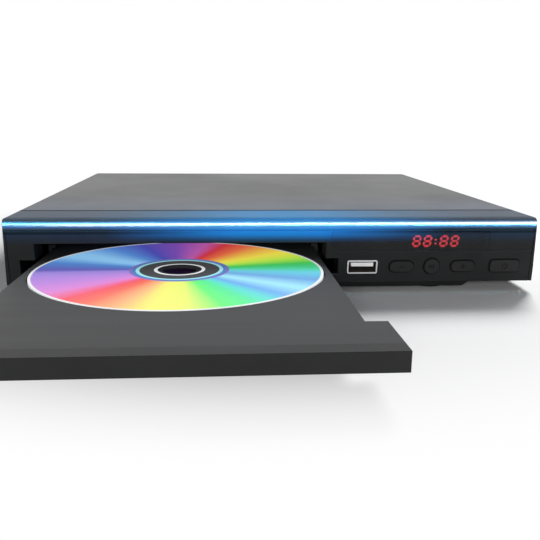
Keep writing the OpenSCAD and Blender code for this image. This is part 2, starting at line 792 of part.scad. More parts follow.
module feet() place() color("#1b1b1b") {
    for (x = [-foot_x, foot_x], y = [foot_y0, foot_y1]) translate([x, y, 0]) {
        cylinder(d = foot_d, h = pan_z);
        translate([0, 0, pan_z - slit]) cylinder(d = foot_d / 3, h = slit);
    }
}

module cover_screws() place() color("#b9bcc0") {
    tip = 1.6;
    for (y = cover_side_y, sx = [-1, 1])
        translate([sx * (flange_x - sheet - tip), y, flange_top + lip_h / 2])
            rotate([0, sx * 90, 0]) cover_screw(side_x - flange_x + sheet + tip);
    for (x = cover_rear_x) translate([x, rear_in - tip, top_z - 4.4]) rotate([-90, 0, 0])
        cover_screw(body_d - rear_in + tip);
}

// A pan head screw whose head rests at height l
module cover_screw(l) {
    cylinder(d = 2.2, h = l);
    translate([0, 0, l]) difference() {
        cylinder(d1 = 5.6, d2 = 4.6, h = 1.4);
        translate([0, 0, 0.7]) for (a = [0, 90]) rotate(a) translate([-1.5, -0.35, 0]) cube([3, 0.7, 1]);
    }
}

// ---- Front parts ----

module display_window() place() color("#15171a", 0.6) facing() {
    translate([window_x0 + slit, band_v + slit, -window_t + 0.02])
        cube([window_x1 - window_x0 - 2 * slit, window_h - 2 * slit, window_t - 0.02]);
}

module display_module() place() color("#101010") facing() {
    translate([digits_x - 1.2, digit_v - 0.9, -window_t - flush - module_t])
        cube([module_w, module_h, module_t]);
    for (i = [0:4]) translate([digits_x + 1 + i * 5, digit_v + 2, board_w0])
        cube([0.6, 0.6, -window_t - flush - module_t - board_w0]);
}

// One lit segment lying along X, from 0 to l
module segment(l) {
    s = segment_w / 2;
    a = s * 0.3;
    b = s * 1.3;
    polygon([[a, 0], [b, s], [l - b, s], [l - a, 0], [l - b, -s], [b, -s]]);
}

// A figure eight of seven lit segments, leaning to the right
module digit() {
    w = digit_w - segment_w;
    h = (digit_h - segment_w) / 2;
    lean = 0.12;
    multmatrix([[1, lean, 0, 0], [0, 1, 0, 0], [0, 0, 1, 0], [0, 0, 0, 1]]) {
        for (y = [0, h, 2 * h]) translate([0.06, y]) segment(w - 0.12);
        for (x = [0, w], y = [0, h]) translate([x, y + 0.06]) rotate(90) segment(h - 0.12);
    }
}

module display_digits() place() color("#ff3b4a") facing() {
    translate([digits_x, digit_v, -window_t - flush]) linear_extrude(0.2)
        for (i = [0:3]) translate([i * digit_step + (i > 1 ? colon_step : 0), segment_w / 2]) digit();
    for (v = [0.3, 0.62]) translate([digits_x + 2 * digit_step + 0.5, digit_v + digit_h * v,
        -window_t - flush]) cylinder(d = 0.9, h = 0.2);
}

module ir_receiver() place() color("#1a0f12") facing() {
    translate([ir_x, digit_v + digit_h / 2, board_w0]) cylinder(d = 5, h = -board_w0 - window_t - 2.8);
    translate([ir_x, digit_v + digit_h / 2, -window_t - 2.8]) sphere(d = 5);
}

module front_board() place() color("#1d5a35") facing() {
    difference() {
        translate([board_x0, board_v0, board_w0 - board_t])
            cube([board_x1 - board_x0, board_v1 - board_v0, board_t]);
        for (p = front_spots) translate([p[0], p[1], board_w0 - board_t - bury])
            cylinder(d = screw_hole, h = board_t + 2 * bury);
    }
}

module tact_switches() place() color("#2a2a2c") facing() {
    for (x = key_x) {
        translate([x - 3, row_v - 3, board_w0]) cube([6, 6, switch_t]);
        translate([x, row_v, board_w0 + switch_t]) cylinder(d = stem_d, h = stem_l);
    }
}

// USB shell with a rolled front edge
module usb_shell() place() color("#d5d8dc") facing() translate([usb_x + usb_w / 2, row_v, 0]) {
    difference() {
        union() {
            linear_extrude(0.4) round_rect(usb_w, usb_h, 0.9);
            translate([-usb_body_w / 2, -usb_body_h / 2, board_w0])
                cube([usb_body_w, usb_body_h, 0.2 - board_w0]);
        }
        translate([-usb_body_w / 2 + usb_wall, -usb_body_h / 2 + usb_wall, board_w0 + 1])
            cube([usb_body_w - 2 * usb_wall, usb_body_h - 2 * usb_wall, -board_w0 + 1]);
    }
}

module usb_tongue() place() color("#f2f2f0") facing() translate([usb_x + usb_w / 2, row_v, 0]) {
    translate([-usb_body_w / 2 + 1.5, usb_body_h / 2 - usb_wall - 2.4, board_w0 + 1])
        cube([usb_body_w - 3, 1.7, -board_w0 - 1.2]);
}

// A button: cap through the panel, flange behind it and a plunger that ends in front of its switch
module button_tail(w, h) {
    translate([-w / 2 - flange_out, -h / 2 - 0.4, -fascia_wall - flush - flange_t])
        cube([w + 2 * flange_out, h + 0.8, flange_t]);
    translate([0, 0, plunger_end]) cylinder(d = 3.4, h = -plunger_end - fascia_wall - flush - flange_t / 2);
}

module pill_button(x) {
    facing() translate([x, row_v, 0]) {
        translate([0, 0, -fascia_wall - flush - flange_t / 2])
            linear_extrude(fascia_wall + flush + flange_t / 2 + button_out) pill(pill_w, pill_h);
        button_tail(pill_w, pill_h);
    }
}

module minus_button() place() color("#2b2b2b") pill_button(minus_x);

module plus_button() place() color("#2b2b2b") pill_button(plus_x);

module play_button() place() color("#2b2b2b") facing() translate([play_x, row_v, 0]) {
    translate([0, 0, -fascia_wall - flush - flange_t / 2])
        cylinder(d = play_d, h = fascia_wall + flush + flange_t / 2 + button_out);
    button_tail(play_d - 1, play_d - 1);
}

module power_button() place() color("#2b2b2b") facing() translate([power_x, row_v, 0]) {
    translate([0, 0, -fascia_wall - flush - flange_t / 2])
        linear_extrude(fascia_wall + flush + flange_t / 2 + button_out) round_rect(power_w, power_h, 1.6);
    button_tail(power_w - 1, power_h - 1);
}

// Dust flap, folded back above the slot while the tray is out
module slot_flap() place() color("#232426") {
    x0 = slot_x0 + flap_side;
    x1 = slot_x1 - flap_side;
    span([x0, x1], [flap_y, flap_y + flap_h], [flap_z - flap_t / 2, flap_z + flap_t / 2]);
    translate([x0, flap_y, flap_z]) rotate([0, 90, 0]) cylinder(d = 2.2, h = x1 - x0);
    translate([slot_x0 - jamb_t + slit, flap_y, flap_z]) rotate([0, 90, 0])
        cylinder(d = flap_pin_d, h = slot_w + 2 * jamb_t - 2 * slit);
}

// ---- Tray and disc ----

// Plan of the tray: the neck and the wider front block
module tray_plan(y0) {
    translate([tray_x - neck_x, y0]) square([tray_w, tray_end - y0]);
    translate([tray_x - block_x, y0]) square([block_w, block_end - y0]);
}

module tray() place() color("#4d4f52") {
    y0 = tray_y + trim_t;
    difference() {
        translate([0, 0, plate_z]) linear_extrude(tray_plate) tray_plan(y0);
        post(tray_x, hub_y, [tray_top - well_depth, tray_top + bury], well_d);
        post(tray_x, hub_y, [tray_top - well_depth - small_well_depth, tray_top + bury], small_well_d);
        tray_window();
    }
    for (sx = [-1, 1]) {
        rail_x = tray_x + sx * (neck_x - rail_w / 2);
        span([rail_x - rail_w / 2, rail_x + rail_w / 2], [y0, tray_end], [tray_z, plate_z]);
        wing_x = tray_x + sx * (block_x - 1);
        span([wing_x - 1, wing_x + 1], [y0, block_end], [tray_z, plate_z]);
        step_x = tray_x + sx * (neck_x + block_x) / 2;
        step_w = (block_x - neck_x) / 2;
        span([step_x - step_w, step_x + step_w], [block_end - 2, block_end], [tray_z, plate_z]);
        for (i = [0:2]) span([step_x - step_w, step_x + step_w],
            [y0 + 5 + 6 * i, y0 + 6.2 + 6 * i], [tray_z + 1, plate_z]);
    }
    difference() {
        span([tray_x - block_x, tray_x + block_x], [y0, y0 + 2], [tray_z, plate_z]);
        for (x = trim_tabs) span([x - 4.2, x + 4.2], [y0 - bury, y0 + 2 + bury],
            [trim_tab_z - slit, trim_tab_z + 1.3]);
    }
    translate([pitch_x, 0, rack_z]) linear_extrude(plate_z - rack_z) polygon(rack_points());
}

// Long opening in the tray that the turntable and the lens reach through
module tray_window() {
    zs = [plate_z - bury, tray_top + bury];
    post(tray_x, hub_y, zs, 2 * window_half);
    post(tray_x, hub_y + 42, zs, 2 * window_half);
    span([tray_x - window_half, tray_x + window_half], [hub_y, hub_y + 42], zs);
}

module tray_front() place() color("#2e2f31") {
    difference() {
        span([tray_x - block_x, tray_x + block_x], [tray_y, tray_y + trim_t], [tray_z, tray_top]);
        span([tray_x - block_x + trim_wall, tray_x + block_x - trim_wall],
            [tray_y + trim_wall, tray_y + trim_t + bury], [tray_z + trim_wall, tray_top - trim_wall]);
    }
    for (x = trim_tabs) {
        span([x - 4, x + 4], [tray_y + trim_t, tray_y + trim_t + 3], [trim_tab_z, trim_tab_z + 0.9]);
        span([x - 4, x + 4], [tray_y + trim_t + 2.2, tray_y + trim_t + 3], [trim_tab_z, trim_tab_z + 1.7]);
    }
}

module disc() place() color("#c9cdd6") {
    translate([tray_x, hub_y, disc_z]) rotate_extrude($fn = 160) {
        translate([disc_hole / 2, 0]) square([(disc_d - disc_hole) / 2, disc_t]);
        translate([17, 0]) square([1, disc_t]);
    }
}

// ---- Loader frame and gears ----

module frame_wall(sx) {
    x = tray_x + sx * (wall_x + frame_t / 2);
    span([x - frame_t / 2, x + frame_t / 2], [wall_y0, frame_y1], [ledge_z, wall_top]);
    for (y = [wall_y0, spindle_y - 5 - tab_l, spindle_y + 49]) {
        tab_x = tray_x + sx * (wall_x - tab_in / 2);
        span([tab_x - tab_in / 2, tab_x + tab_in / 2], [y, y + tab_l], [tray_top + tab_gap, wall_top]);
    }
}

module loader_frame() place() color("#1e1f21") {
    difference() {
        union() {
            span([tray_x + floor_x0, tray_x + floor_x1], [frame_y0, gear_y1], [floor_z, floor_top]);
            span([tray_x + floor_x0, tray_x + inner_x], [gear_y1, floor_front_y1], [floor_z, floor_top]);
            span([tray_x + floor_x0, tray_x + inner_x], [floor_rear_y0, frame_y1], [floor_z, floor_top]);
            frame_webs();
            frame_ledges();
            for (sx = [-1, 1]) frame_wall(sx);
            span([tray_x - wall_out, tray_x + wall_out], [frame_y1 - frame_t, frame_y1],
                [ledge_z, wall_top]);
            span([tray_x + floor_x0, tray_x + inner_x], [frame_y1 - frame_t, frame_y1], [floor_z, ledge_z]);
            for (p = frame_spots) frame_lug(p);
            post(drive_x, drive_y, [floor_z, pinion_top], post_d);
            post(drive_x, drive_y, [floor_z, wheel_z - 0.1], post_d + 4);
            post(pulley_x, drive_y, [floor_z, pulley_top], post_d);
            post(pulley_x, drive_y, [floor_z, wheel_z - 0.1], post_d + 3);
            for (p = grommet_spots) post(p[0], p[1], [floor_z, grommet_top], 2.8);
        }
        post(motor_x, drive_y, [floor_z - bury, floor_top + bury], motor_d + 2 * slit);
        for (p = frame_spots) post(p[0], p[1], [ledge_z - bury, ledge_top + bury], screw_hole);
        for (p = grommet_spots) post(p[0], p[1], [floor_top, grommet_top + bury], 1.4);
    }
}

// Upright webs that join the low floor to the ledges
module frame_webs() {
    web = 1.6;
    span([tray_x + floor_x0, tray_x + floor_x0 + web], [frame_y0, frame_y1], [floor_z, ledge_top]);
    span([tray_x + floor_x1 - web, tray_x + floor_x1], [frame_y0, gear_y1], [floor_z, ledge_top]);
    span([tray_x + inner_x - web, tray_x + floor_x1], [gear_y1 - web, gear_y1], [floor_z, ledge_top]);
    span([tray_x + inner_x - web, tray_x + inner_x], [gear_y1 - web, frame_y1], [floor_z, ledge_top]);
}

// Ledges that the tray's rails slide on
module frame_ledges() {
    zs = [ledge_z, ledge_top];
    span([tray_x - wall_out, tray_x + floor_x0], [wall_y0, frame_y1], zs);
    span([tray_x - neck_x, tray_x + floor_x0], [frame_y0, wall_y0 + bury], zs);
    span([tray_x + floor_x1 - bury, tray_x + neck_x], [frame_y0, wall_y0 + bury], zs);
    span([tray_x + floor_x1 - bury, tray_x + wall_out], [wall_y0, gear_y1], zs);
    span([tray_x + inner_x - bury, tray_x + wall_out], [gear_y1 - bury, frame_y1], zs);
}

module frame_lug(p) {
    post(p[0], p[1], [ledge_z, ledge_top], 7);
    x = p[0] < tray_x ? [p[0], tray_x - wall_x] : [tray_x + wall_x, p[0]];
    span(x, [p[1] - 3.5, p[1] + 3.5], [ledge_z, ledge_top]);
}

module drive_gear() place() color("#e8e4d8") translate([drive_x, drive_y, wheel_z]) {
    difference() {
        union() {
            spur(wheel_n, wheel_m, wheel_h);
            spur(pinion_n, rack_m, pinion_top - wheel_z);
        }
        translate([0, 0, -bury]) cylinder(d = post_d + 2 * pin_gap, h = pinion_top - wheel_z + 2 * bury);
    }
}

// Section of a grooved pulley as [radius, height] points, with its groove at mid height
function sheave_points(r, h) = [[0, 0], [r, 0], [r, 0.3], [r - sheave, h / 2 - belt_w / 2 - slit],
    [r - sheave, h / 2 + belt_w / 2 + slit], [r, h - 0.3], [r, h], [0, h]];

module pulley_gear() place() color("#ded9cb") translate([pulley_x, drive_y, 0]) {
    low = wheel_top + 0.2;
    half = belt_z + belt_w / 2 - low;
    difference() {
        union() {
            translate([0, 0, wheel_z]) spur(small_n, wheel_m, low - wheel_z, 180 / small_n);
            translate([0, 0, low]) rotate_extrude() polygon(sheave_points(pulley_d / 2, 2 * half));
        }
        translate([0, 0, wheel_z - bury]) cylinder(d = post_d + 2 * pin_gap, h = 12);
    }
}

// Outline of a belt round both pulleys, at a distance out from the groove
module belt_loop(out) {
    hull() {
        circle(r = belt_r1 + out, $fn = 48);
        translate([-belt_l, 0]) circle(r = belt_r2 + out, $fn = 32);
    }
}

module belt() place() color("#141414") translate([pulley_x, drive_y, belt_z])
    linear_extrude(belt_w) difference() {
        belt_loop(belt_t);
        belt_loop(0);
    }

module motor_pulley() place() color("#d8c9a0") translate([motor_x, drive_y, 0]) {
    low = motor_top + 0.2;
    half = belt_z + belt_w / 2 - low;
    difference() {
        translate([0, 0, low]) rotate_extrude() polygon(sheave_points(motor_pulley_d / 2, 2 * half));
        translate([0, 0, low + 2 * half - 0.4]) cylinder(d = 2, h = 1);
    }
    post(0, 0, [motor_z + 2, low], 1.5);
}

module loading_motor() place() color("#a9adb2") translate([motor_x, drive_y, 0]) difference() {
    union() {
        post(0, 0, [motor_z, motor_top - 0.5], motor_d);
        post(0, 0, [motor_top - 0.6, motor_top], 6);
    }
    post(0, 0, [motor_z + 1.9, motor_top + bury], 1.5 + 2 * pin_gap);
}

module clamp_bridge() place() color("#b4b8bc") {
    y0 = spindle_y - bridge_w / 2;
    y1 = spindle_y + bridge_w / 2;
    difference() {
        union() {
            span([tray_x - bridge_x, tray_x + bridge_x], [y0, y1], [bridge_z, bridge_z + bridge_t]);
            for (sx = [-1, 1]) {
                x = tray_x + sx * (wall_out + 1.1);
                span([x - 0.5, x + 0.5], [y0, y1], [bridge_z - 4, bridge_z + bridge_t]);
            }
            for (y = [y0, y1 - 1]) span([tray_x - bridge_x, tray_x + bridge_x], [y, y + 1],
                [bridge_z, bridge_z + bridge_t + 1.6]);
        }
        post(tray_x, spindle_y, [bridge_z - bury, bridge_z + bridge_t + bury], clamp_hole);
    }
}

module clamper() place() color("#2c2d30") translate([tray_x, spindle_y, 0]) {
    hang_z = bridge_z + bridge_t + clamp_hang;
    difference() {
        union() {
            post(0, 0, [clamp_z, clamp_z + clamp_pad_t], clamp_d - 2);
            post(0, 0, [clamp_z, hang_z + 0.5], clamp_neck);
            post(0, 0, [hang_z, hang_z + clamp_cap_t], clamp_d - 2.4);
        }
        post(0, 0, [hang_z + clamp_cap_t - magnet_t, hang_z + clamp_cap_t + bury], magnet_d + 2 * slit);
        post(0, 0, [clamp_z - bury, clamp_z + 2], cone_d + 1);
    }
}

module clamper_magnet() place() color("#8d9196") translate([tray_x, spindle_y, 0]) {
    top = bridge_z + bridge_t + clamp_hang + clamp_cap_t;
    difference() {
        post(0, 0, [top - magnet_t, top - 0.2], magnet_d);
        post(0, 0, [top - magnet_t - bury, top + bury], 5);
    }
}

// ---- Traverse ----

module traverse_base() place() color("#9a9ea3") {
    difference() {
        union() {
            span([tray_x - base_x, tray_x + base_x], [base_y0, base_y1], [base_z, base_top]);
            for (sx = [-1, 1], y = [rod_y0, rod_y1 - clip_l]) rod_clip(tray_x + sx * rod_dx, y);
            for (y = [screw_y0 + sled_motor_l - 1.4, screw_y1 - clip_l]) screw_clip(y);
        }
        span([tray_x - window_half, tray_x + window_half], [spindle_y + spindle_d / 2 - 4, base_y1 - 6],
            [base_z - bury, base_top + bury]);
        post(tray_x, spindle_y, [base_z - bury, base_top + bury], spindle_d - 4);
        for (p = grommet_spots)
            post(p[0], p[1], [base_z - bury, base_top + bury], grommet_d - 2 + 2 * slit);
    }
}

// Blocks that hold the ends of a rod or carry the lead screw
module rod_clip(x, y) {
    difference() {
        span([x - 2.6, x + 2.6], [y, y + clip_l], [base_top, rod_z + rod_d / 2 + 0.6]);
        rod(x, [y - bury, y + clip_l + bury], rod_z, rod_d);
    }
}

module screw_clip(y) {
    difference() {
        span([tray_x + screw_dx - 2.2, tray_x + screw_dx + 2.2], [y, y + clip_l], [base_top, screw_z + 2]);
        rod(tray_x + screw_dx, [y - bury, y + clip_l + bury], screw_z, screw_d + 2 * pin_gap);
    }
}

module grommets() place() color("#161616") {
    for (p = grommet_spots) difference() {
        union() {
            post(p[0], p[1], [floor_top, base_z], grommet_d);
            post(p[0], p[1], [floor_top, grommet_top], grommet_d - 2);
            post(p[0], p[1], [base_top, grommet_top], grommet_d);
        }
        post(p[0], p[1], [floor_top - bury, grommet_top + bury], 2.8 + slit);
    }
}

module grommet_screws() place() color("#c0c3c6") {
    for (p = grommet_spots) {
        post(p[0], p[1], [grommet_top, grommet_top + 0.9], 5);
        post(p[0], p[1], [floor_top + 0.6, grommet_top], 1.3);
    }
}

module guide_rods() place() color("#d7dadd") {
    for (sx = [-1, 1]) rod(tray_x + sx * rod_dx, [rod_y0, rod_y1], rod_z, rod_d);
}

module pickup_sled() place() color("#4a4d50") {
    ys = [sled_y - sled_l / 2, sled_y + sled_l / 2];
    difference() {
        union() {
            span([tray_x - sled_x, tray_x + sled_x], ys, [sled_z, sled_top]);
            span([tray_x - window_half + 1, tray_x + window_half - 1], ys, [floor_top + 0.2, sled_z + 0.5]);
            span([tray_x + sled_x - 1, tray_x + screw_dx + 2.6], [sled_y - 1, sled_y + 6],
                [sled_z - 0.2, screw_z]);
        }
        rod(tray_x + screw_dx, [ys[0], ys[1]], screw_z, screw_d + 2 * pin_gap);
        rod(tray_x - rod_dx, [ys[0] - bury, ys[1] + bury], rod_z, rod_d + 2 * pin_gap);
        rod(tray_x + rod_dx, [ys[0] - bury, ys[1] + bury], rod_z, rod_d + 2 * pin_gap);
        post(tray_x, sled_y, [sled_top - 3.4, sled_top + bury], 13);
    }
}

module lens_holder() place() color("#151515") difference() {
    union() {
        post(tray_x, sled_y, [sled_top - 2.8, sled_top + 0.2], 11);
        post(tray_x, sled_y, [sled_top, sled_top + 0.6], lens_d + 1.6);
    }
    post(tray_x, sled_y, [sled_top - 3.4, sled_top + bury], lens_d);
}

module lens() place() color("#7fa6c9", 0.6) translate([tray_x, sled_y, sled_top - 1.6]) {
    cylinder(d = lens_d, h = 1.2);
    translate([0, 0, 1.2]) intersection() {
        cylinder(d = lens_d, h = 1);
        translate([0, 0, -6.2]) sphere(r = 7.0);
    }
}

module lead_screw() place() color("#c9ccd0") {
    rod(tray_x + screw_dx, [screw_y0 + sled_motor_l - 6, screw_y1], screw_z, screw_d);
}

module sled_motor() place() color("#a4a8ad") difference() {
    intersection() {
        rod(tray_x + screw_dx, [screw_y0 - 2, screw_y0 + sled_motor_l - 2], screw_z + 0.6, 8);
        span([tray_x + screw_dx - 4, tray_x + screw_dx + 4], [screw_y0 - 2, screw_y0 + sled_motor_l - 2],
            [base_top, plate_z - 0.6]);
    }
    rod(tray_x + screw_dx, [screw_y0 + sled_motor_l - 6.4, screw_y0 + sled_motor_l], screw_z,
        screw_d + 2 * pin_gap);
}

module spindle_motor() place() color("#b0b4b8") difference() {
    union() {
        post(tray_x, spindle_y, [motor_base_z, base_z], spindle_d);
        post(tray_x, spindle_y, [motor_base_z, turntable_z - 0.3], spindle_d - 4.2);
    }
    post(tray_x, spindle_y, [motor_base_z + 0.8, turntable_z], shaft_d + 2 * pin_gap);
}

module turntable() place() color("#232427") translate([tray_x, spindle_y, 0]) {
    post(0, 0, [turntable_z, turntable_z + turntable_t], turntable_d);
    post(0, 0, [motor_base_z + 1, turntable_z + 0.5], shaft_d);
    translate([0, 0, turntable_z + turntable_t - 0.1]) cylinder(d = cone_d, h = 0.5);
    translate([0, 0, turntable_z + turntable_t + 0.4])
        cylinder(d1 = cone_d, d2 = cone_d - 3, h = cone_top - turntable_z - turntable_t - 0.4);
}

module turntable_pad() place() color("#0f0f10") translate([tray_x, spindle_y, 0]) difference() {
    post(0, 0, [turntable_z + turntable_t, turntable_z + turntable_t + 0.4], turntable_d - 1);
    post(0, 0, [turntable_z, turntable_z + turntable_t + bury], cone_d + 2.6);
}

// ---- Boards ----

module main_board() place() color("#1d6a3a") difference() {
    span([main_x0, main_x1], [main_y0, main_y1], [board_z, board_top]);
    for (p = main_spots) post(p[0], p[1], [board_z - bury, board_top + bury], screw_hole);
}

// A flat package whose corner is at x, y on a board
module chip(x, y, size) {
    translate([x, y, board_top]) cube(size);
}

// Integrated circuits, a heat sink on the decoder and the ribbons' connectors
module chips() place() color("#1c1c1e") {
    chip(main_x0 + 23, main_y0 + 38, [decoder_w, decoder_w, chip_t]);
    chip(main_x1 - 27, main_y0 + 34, [11, 18, chip_t]);
    chip(main_x0 + 17, main_y0 + 16, [10, 7, chip_t]);
    chip(main_x1 - 27, main_y0 + 62, [12, 8, chip_t]);
    chip(main_x0 + 0.6, flex_y0 - 2, [4, flex_w + 4, 4]);
    chip(ribbon_x - 8, main_y0 + 0.6, [16, 4, plug_top - board_top]);
    translate([main_x0 + 24, main_y0 + 39, board_top + chip_t]) heat_sink(decoder_w - 2);
}

// A square plate with six upright fins
module heat_sink(w) {
    cube([w, w, 1.2]);
    for (i = [0:5]) translate([i * (w - 1.2) / 5, 0, 1]) cube([1.2, w, sink_h - 1]);
}

// Upright capacitors as [x, y, diameter, height]
module capacitors() place() color("#22335a") {
    for (p = [[main_x1 - 13, main_y0 + 16, can_d, can_h], [main_x1 - 5, main_y0 + 16, can_d, can_h],
        [main_x0 + 11, main_y0 + 64, 5, 7], [main_x0 + 31, main_y0 + 74, can_d, can_h],
        [main_x0 + 41, main_y0 + 78, can_d, can_h], [main_x1 - 7, main_y0 + 64, 8, 11],
        [main_x0 + 37, main_y0 + 8, 5, 7], [coil_x - 18, power_y0 + 10, 10, 15],
        [coil_x + 18, power_y0 + 7, 8, 12], [coil_x + 30, power_y0 + 15, can_d, can_h]])
        post(p[0], p[1], [board_top, board_top + p[3]], p[2]);
}

module power_board() place() color("#b08a3c") difference() {
    span([power_x0, power_x1], [power_y0, power_y1], [board_z, board_top]);
    for (p = power_spots) post(p[0], p[1], [board_z - bury, board_top + bury], screw_hole);
}

// Flyback transformer: ferrite core round a taped winding
module transformer() place() color("#3a3229") translate([coil_x, power_y0 + 10, board_top]) {
    span([-9, 9], [-7.5, 7.5], [0, 3]);
    span([-9, 9], [-3, 3], [3, 14]);
    span([-6.5, 6.5], [-7, 7], [3, 11.6]);
    span([-9, 9], [-7.5, 7.5], [11.6, 14.6]);
}

module front_ribbon() place() color("#cfcabd") {
    plug_w = board_w0 - board_t - plug_l;
    y0 = face_y(plug_top) - plug_w / cos(face_lean) + slit;
    span([ribbon_x - 7, ribbon_x + 7], [y0, main_y0 + 4.4], [plug_top, plug_top + 0.3]);
    facing() translate([ribbon_x - 8, plug_top - panel_lift - 3, plug_w]) cube([16, 4, plug_l]);
}

module pickup_ribbon() place() color("#c8c2b0") {
    z0 = pan_in + 0.3;
    span([tray_x + 22, main_x0 + 1], [flex_y0, flex_y0 + flex_w], [z0, z0 + 0.3]);
    span([main_x0 + 0.7, main_x0 + 1], [flex_y0, flex_y0 + flex_w], [z0, board_z - slit]);
}

module frame_screws() place() color("#c6c9cc") {
    for (p = frame_spots) {
        post(p[0], p[1], [ledge_top, ledge_top + 1.6], 5.4);
        post(p[0], p[1], [ledge_z + slit, ledge_top], screw_hole - 0.3);
    }
}

module board_screws() place() color("#c6c9cc") {
    for (p = concat(main_spots, power_spots)) {
        post(p[0], p[1], [board_top, board_top + 1.6], 5);
        post(p[0], p[1], [board_z - 3, board_top], screw_hole - 0.5);
    }
    facing() for (p = front_spots) {
        translate([p[0], p[1], board_w0 - board_t - 1.6]) cylinder(d = 5, h = 1.6);
        translate([p[0], p[1], board_w0 - board_t]) cylinder(d = 1.7, h = board_t + 3);
    }
}

// ---- Rear sockets ----

module jack_block() place() color("#1a1a1a") difference() {
    span([jack_x - 7, jack_x + 2 * jack_step + 7], [rear_in - socket_y, rear_in - 0.2],
        [board_top, jack_z + 7.4]);
    for (i = [0:2]) rod(jack_x + i * jack_step, [rear_in - 2, rear_in + bury], jack_z, collar_d + slit);
}

module jack_barrels() place() color("#d9dcdf") {
    for (i = [0:2]) difference() {
        rod(jack_x + i * jack_step, [body_d + 0.6, body_d + jack_out], jack_z, jack_d);
        rod(jack_x + i * jack_step, [body_d - 0.1, body_d + jack_out + bury], jack_z, 3.4);
    }
}

module collar(i) {
    rod(jack_x + i * jack_step, [rear_in - 2, body_d + 0.6], jack_z, collar_d);
}

module jack_yellow() place() color("#e8c41c") collar(0);

module jack_white() place() color("#ececea") collar(1);

module jack_red() place() color("#c9252b") collar(2);

module hdmi_shell() place() color("#c9ccd0") {
    y0 = body_d - hdmi_l;
    z1 = board_top + hdmi_h;
    difference() {
        translate([hdmi_x, body_d, 0]) rotate([90, 0, 0]) linear_extrude(hdmi_l)
            polygon([[-hdmi_w / 2, z1], [-hdmi_w / 2, board_top + 2], [-hdmi_w / 2 + 2, board_top],
                [hdmi_w / 2 - 2, board_top], [hdmi_w / 2, board_top + 2], [hdmi_w / 2, z1]]);
        translate([hdmi_x, body_d + bury, 0]) rotate([90, 0, 0]) linear_extrude(hdmi_l)
            polygon([[-hdmi_w / 2 + 0.5, z1 - 0.5], [-hdmi_w / 2 + 0.5, board_top + 2.2],
                [-hdmi_w / 2 + 2.2, board_top + 0.5], [hdmi_w / 2 - 2.2, board_top + 0.5],
                [hdmi_w / 2 - 0.5, board_top + 2.2], [hdmi_w / 2 - 0.5, z1 - 0.5]]);
    }
}

module hdmi_tongue() place() color("#111111") {
    span([hdmi_x - 5.6, hdmi_x + 5.6], [body_d - hdmi_l + bury, body_d - 1],
        [board_top + 2.7, board_top + 3.6]);
}

// Mains inlet for a two-pole plug
module mains_inlet() place() color("#121212") difference() {
    span([inlet_x - inlet_w / 2 - inlet_wall, inlet_x + inlet_w / 2 + inlet_wall],
        [body_d + 0.6 - inlet_l, body_d + 0.6],
        [inlet_z - inlet_h / 2 - inlet_wall, inlet_z + inlet_h / 2 + inlet_wall]);
    translate([inlet_x, body_d + 0.6 + bury, inlet_z]) rotate([90, 0, 0])
        linear_extrude(inlet_deep + bury) pill(inlet_w, inlet_h);
}

module inlet_pins() place() color("#d8c078") {
    ys = [body_d + 0.6 - inlet_deep, body_d - 1.4];
    for (sx = [-1, 1]) rod(inlet_x + sx * pin_step / 2, ys, inlet_z, pin_d);
}

bottom_chassis();
top_cover();
front_fascia();
feet();
cover_screws();
display_window();
display_module();
display_digits();
ir_receiver();
front_board();
tact_switches();
usb_shell();
usb_tongue();
minus_button();
play_button();
plus_button();
power_button();
slot_flap();
tray();
tray_front();
disc();
loader_frame();
drive_gear();
pulley_gear();
belt();
motor_pulley();
loading_motor();
clamp_bridge();
clamper();
clamper_magnet();
traverse_base();
grommets();
grommet_screws();
guide_rods();
pickup_sled();
lens_holder();
lens();
lead_screw();
sled_motor();
spindle_motor();
turntable();
turntable_pad();
main_board();
chips();
capacitors();
power_board();
transformer();
front_ribbon();
pickup_ribbon();
frame_screws();
board_screws();
jack_block();
jack_barrels();
jack_yellow();
jack_white();
jack_red();
hdmi_shell();
hdmi_tongue();
mains_inlet();
inlet_pins();
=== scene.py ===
import json
import math

import bmesh
import bpy
from mathutils import Matrix, Vector


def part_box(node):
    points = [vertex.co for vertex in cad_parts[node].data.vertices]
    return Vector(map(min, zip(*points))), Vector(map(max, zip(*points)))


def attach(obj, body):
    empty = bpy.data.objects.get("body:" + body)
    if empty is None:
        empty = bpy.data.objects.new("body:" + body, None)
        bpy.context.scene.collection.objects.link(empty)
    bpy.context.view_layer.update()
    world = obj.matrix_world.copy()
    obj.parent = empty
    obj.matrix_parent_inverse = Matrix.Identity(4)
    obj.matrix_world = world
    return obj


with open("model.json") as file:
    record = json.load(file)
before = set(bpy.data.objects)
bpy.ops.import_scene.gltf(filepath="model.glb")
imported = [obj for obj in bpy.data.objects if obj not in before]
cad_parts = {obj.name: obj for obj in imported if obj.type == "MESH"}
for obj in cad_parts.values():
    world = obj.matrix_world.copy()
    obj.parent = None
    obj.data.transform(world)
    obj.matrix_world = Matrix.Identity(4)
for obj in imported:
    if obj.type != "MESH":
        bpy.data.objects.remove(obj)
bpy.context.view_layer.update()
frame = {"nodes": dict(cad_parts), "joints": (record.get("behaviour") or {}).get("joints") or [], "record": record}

MM = 0.001

# ---- Places on the object, in metres ----

FOOT_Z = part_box("front_fascia")[0].z   # lower end of the leaning face
TOP_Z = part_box("front_fascia")[1].z    # flat top of the casing
COVER_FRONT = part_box("top_cover")[0].y
FACE_FRONT = COVER_FRONT - 24.3 * MM   # the leaning face at its lower end
FACE_LEAN = math.radians(5.24)
DISC_AXIS = next(joint["pos_m"] for joint in frame["joints"] if joint["name"] == "disc_turn")


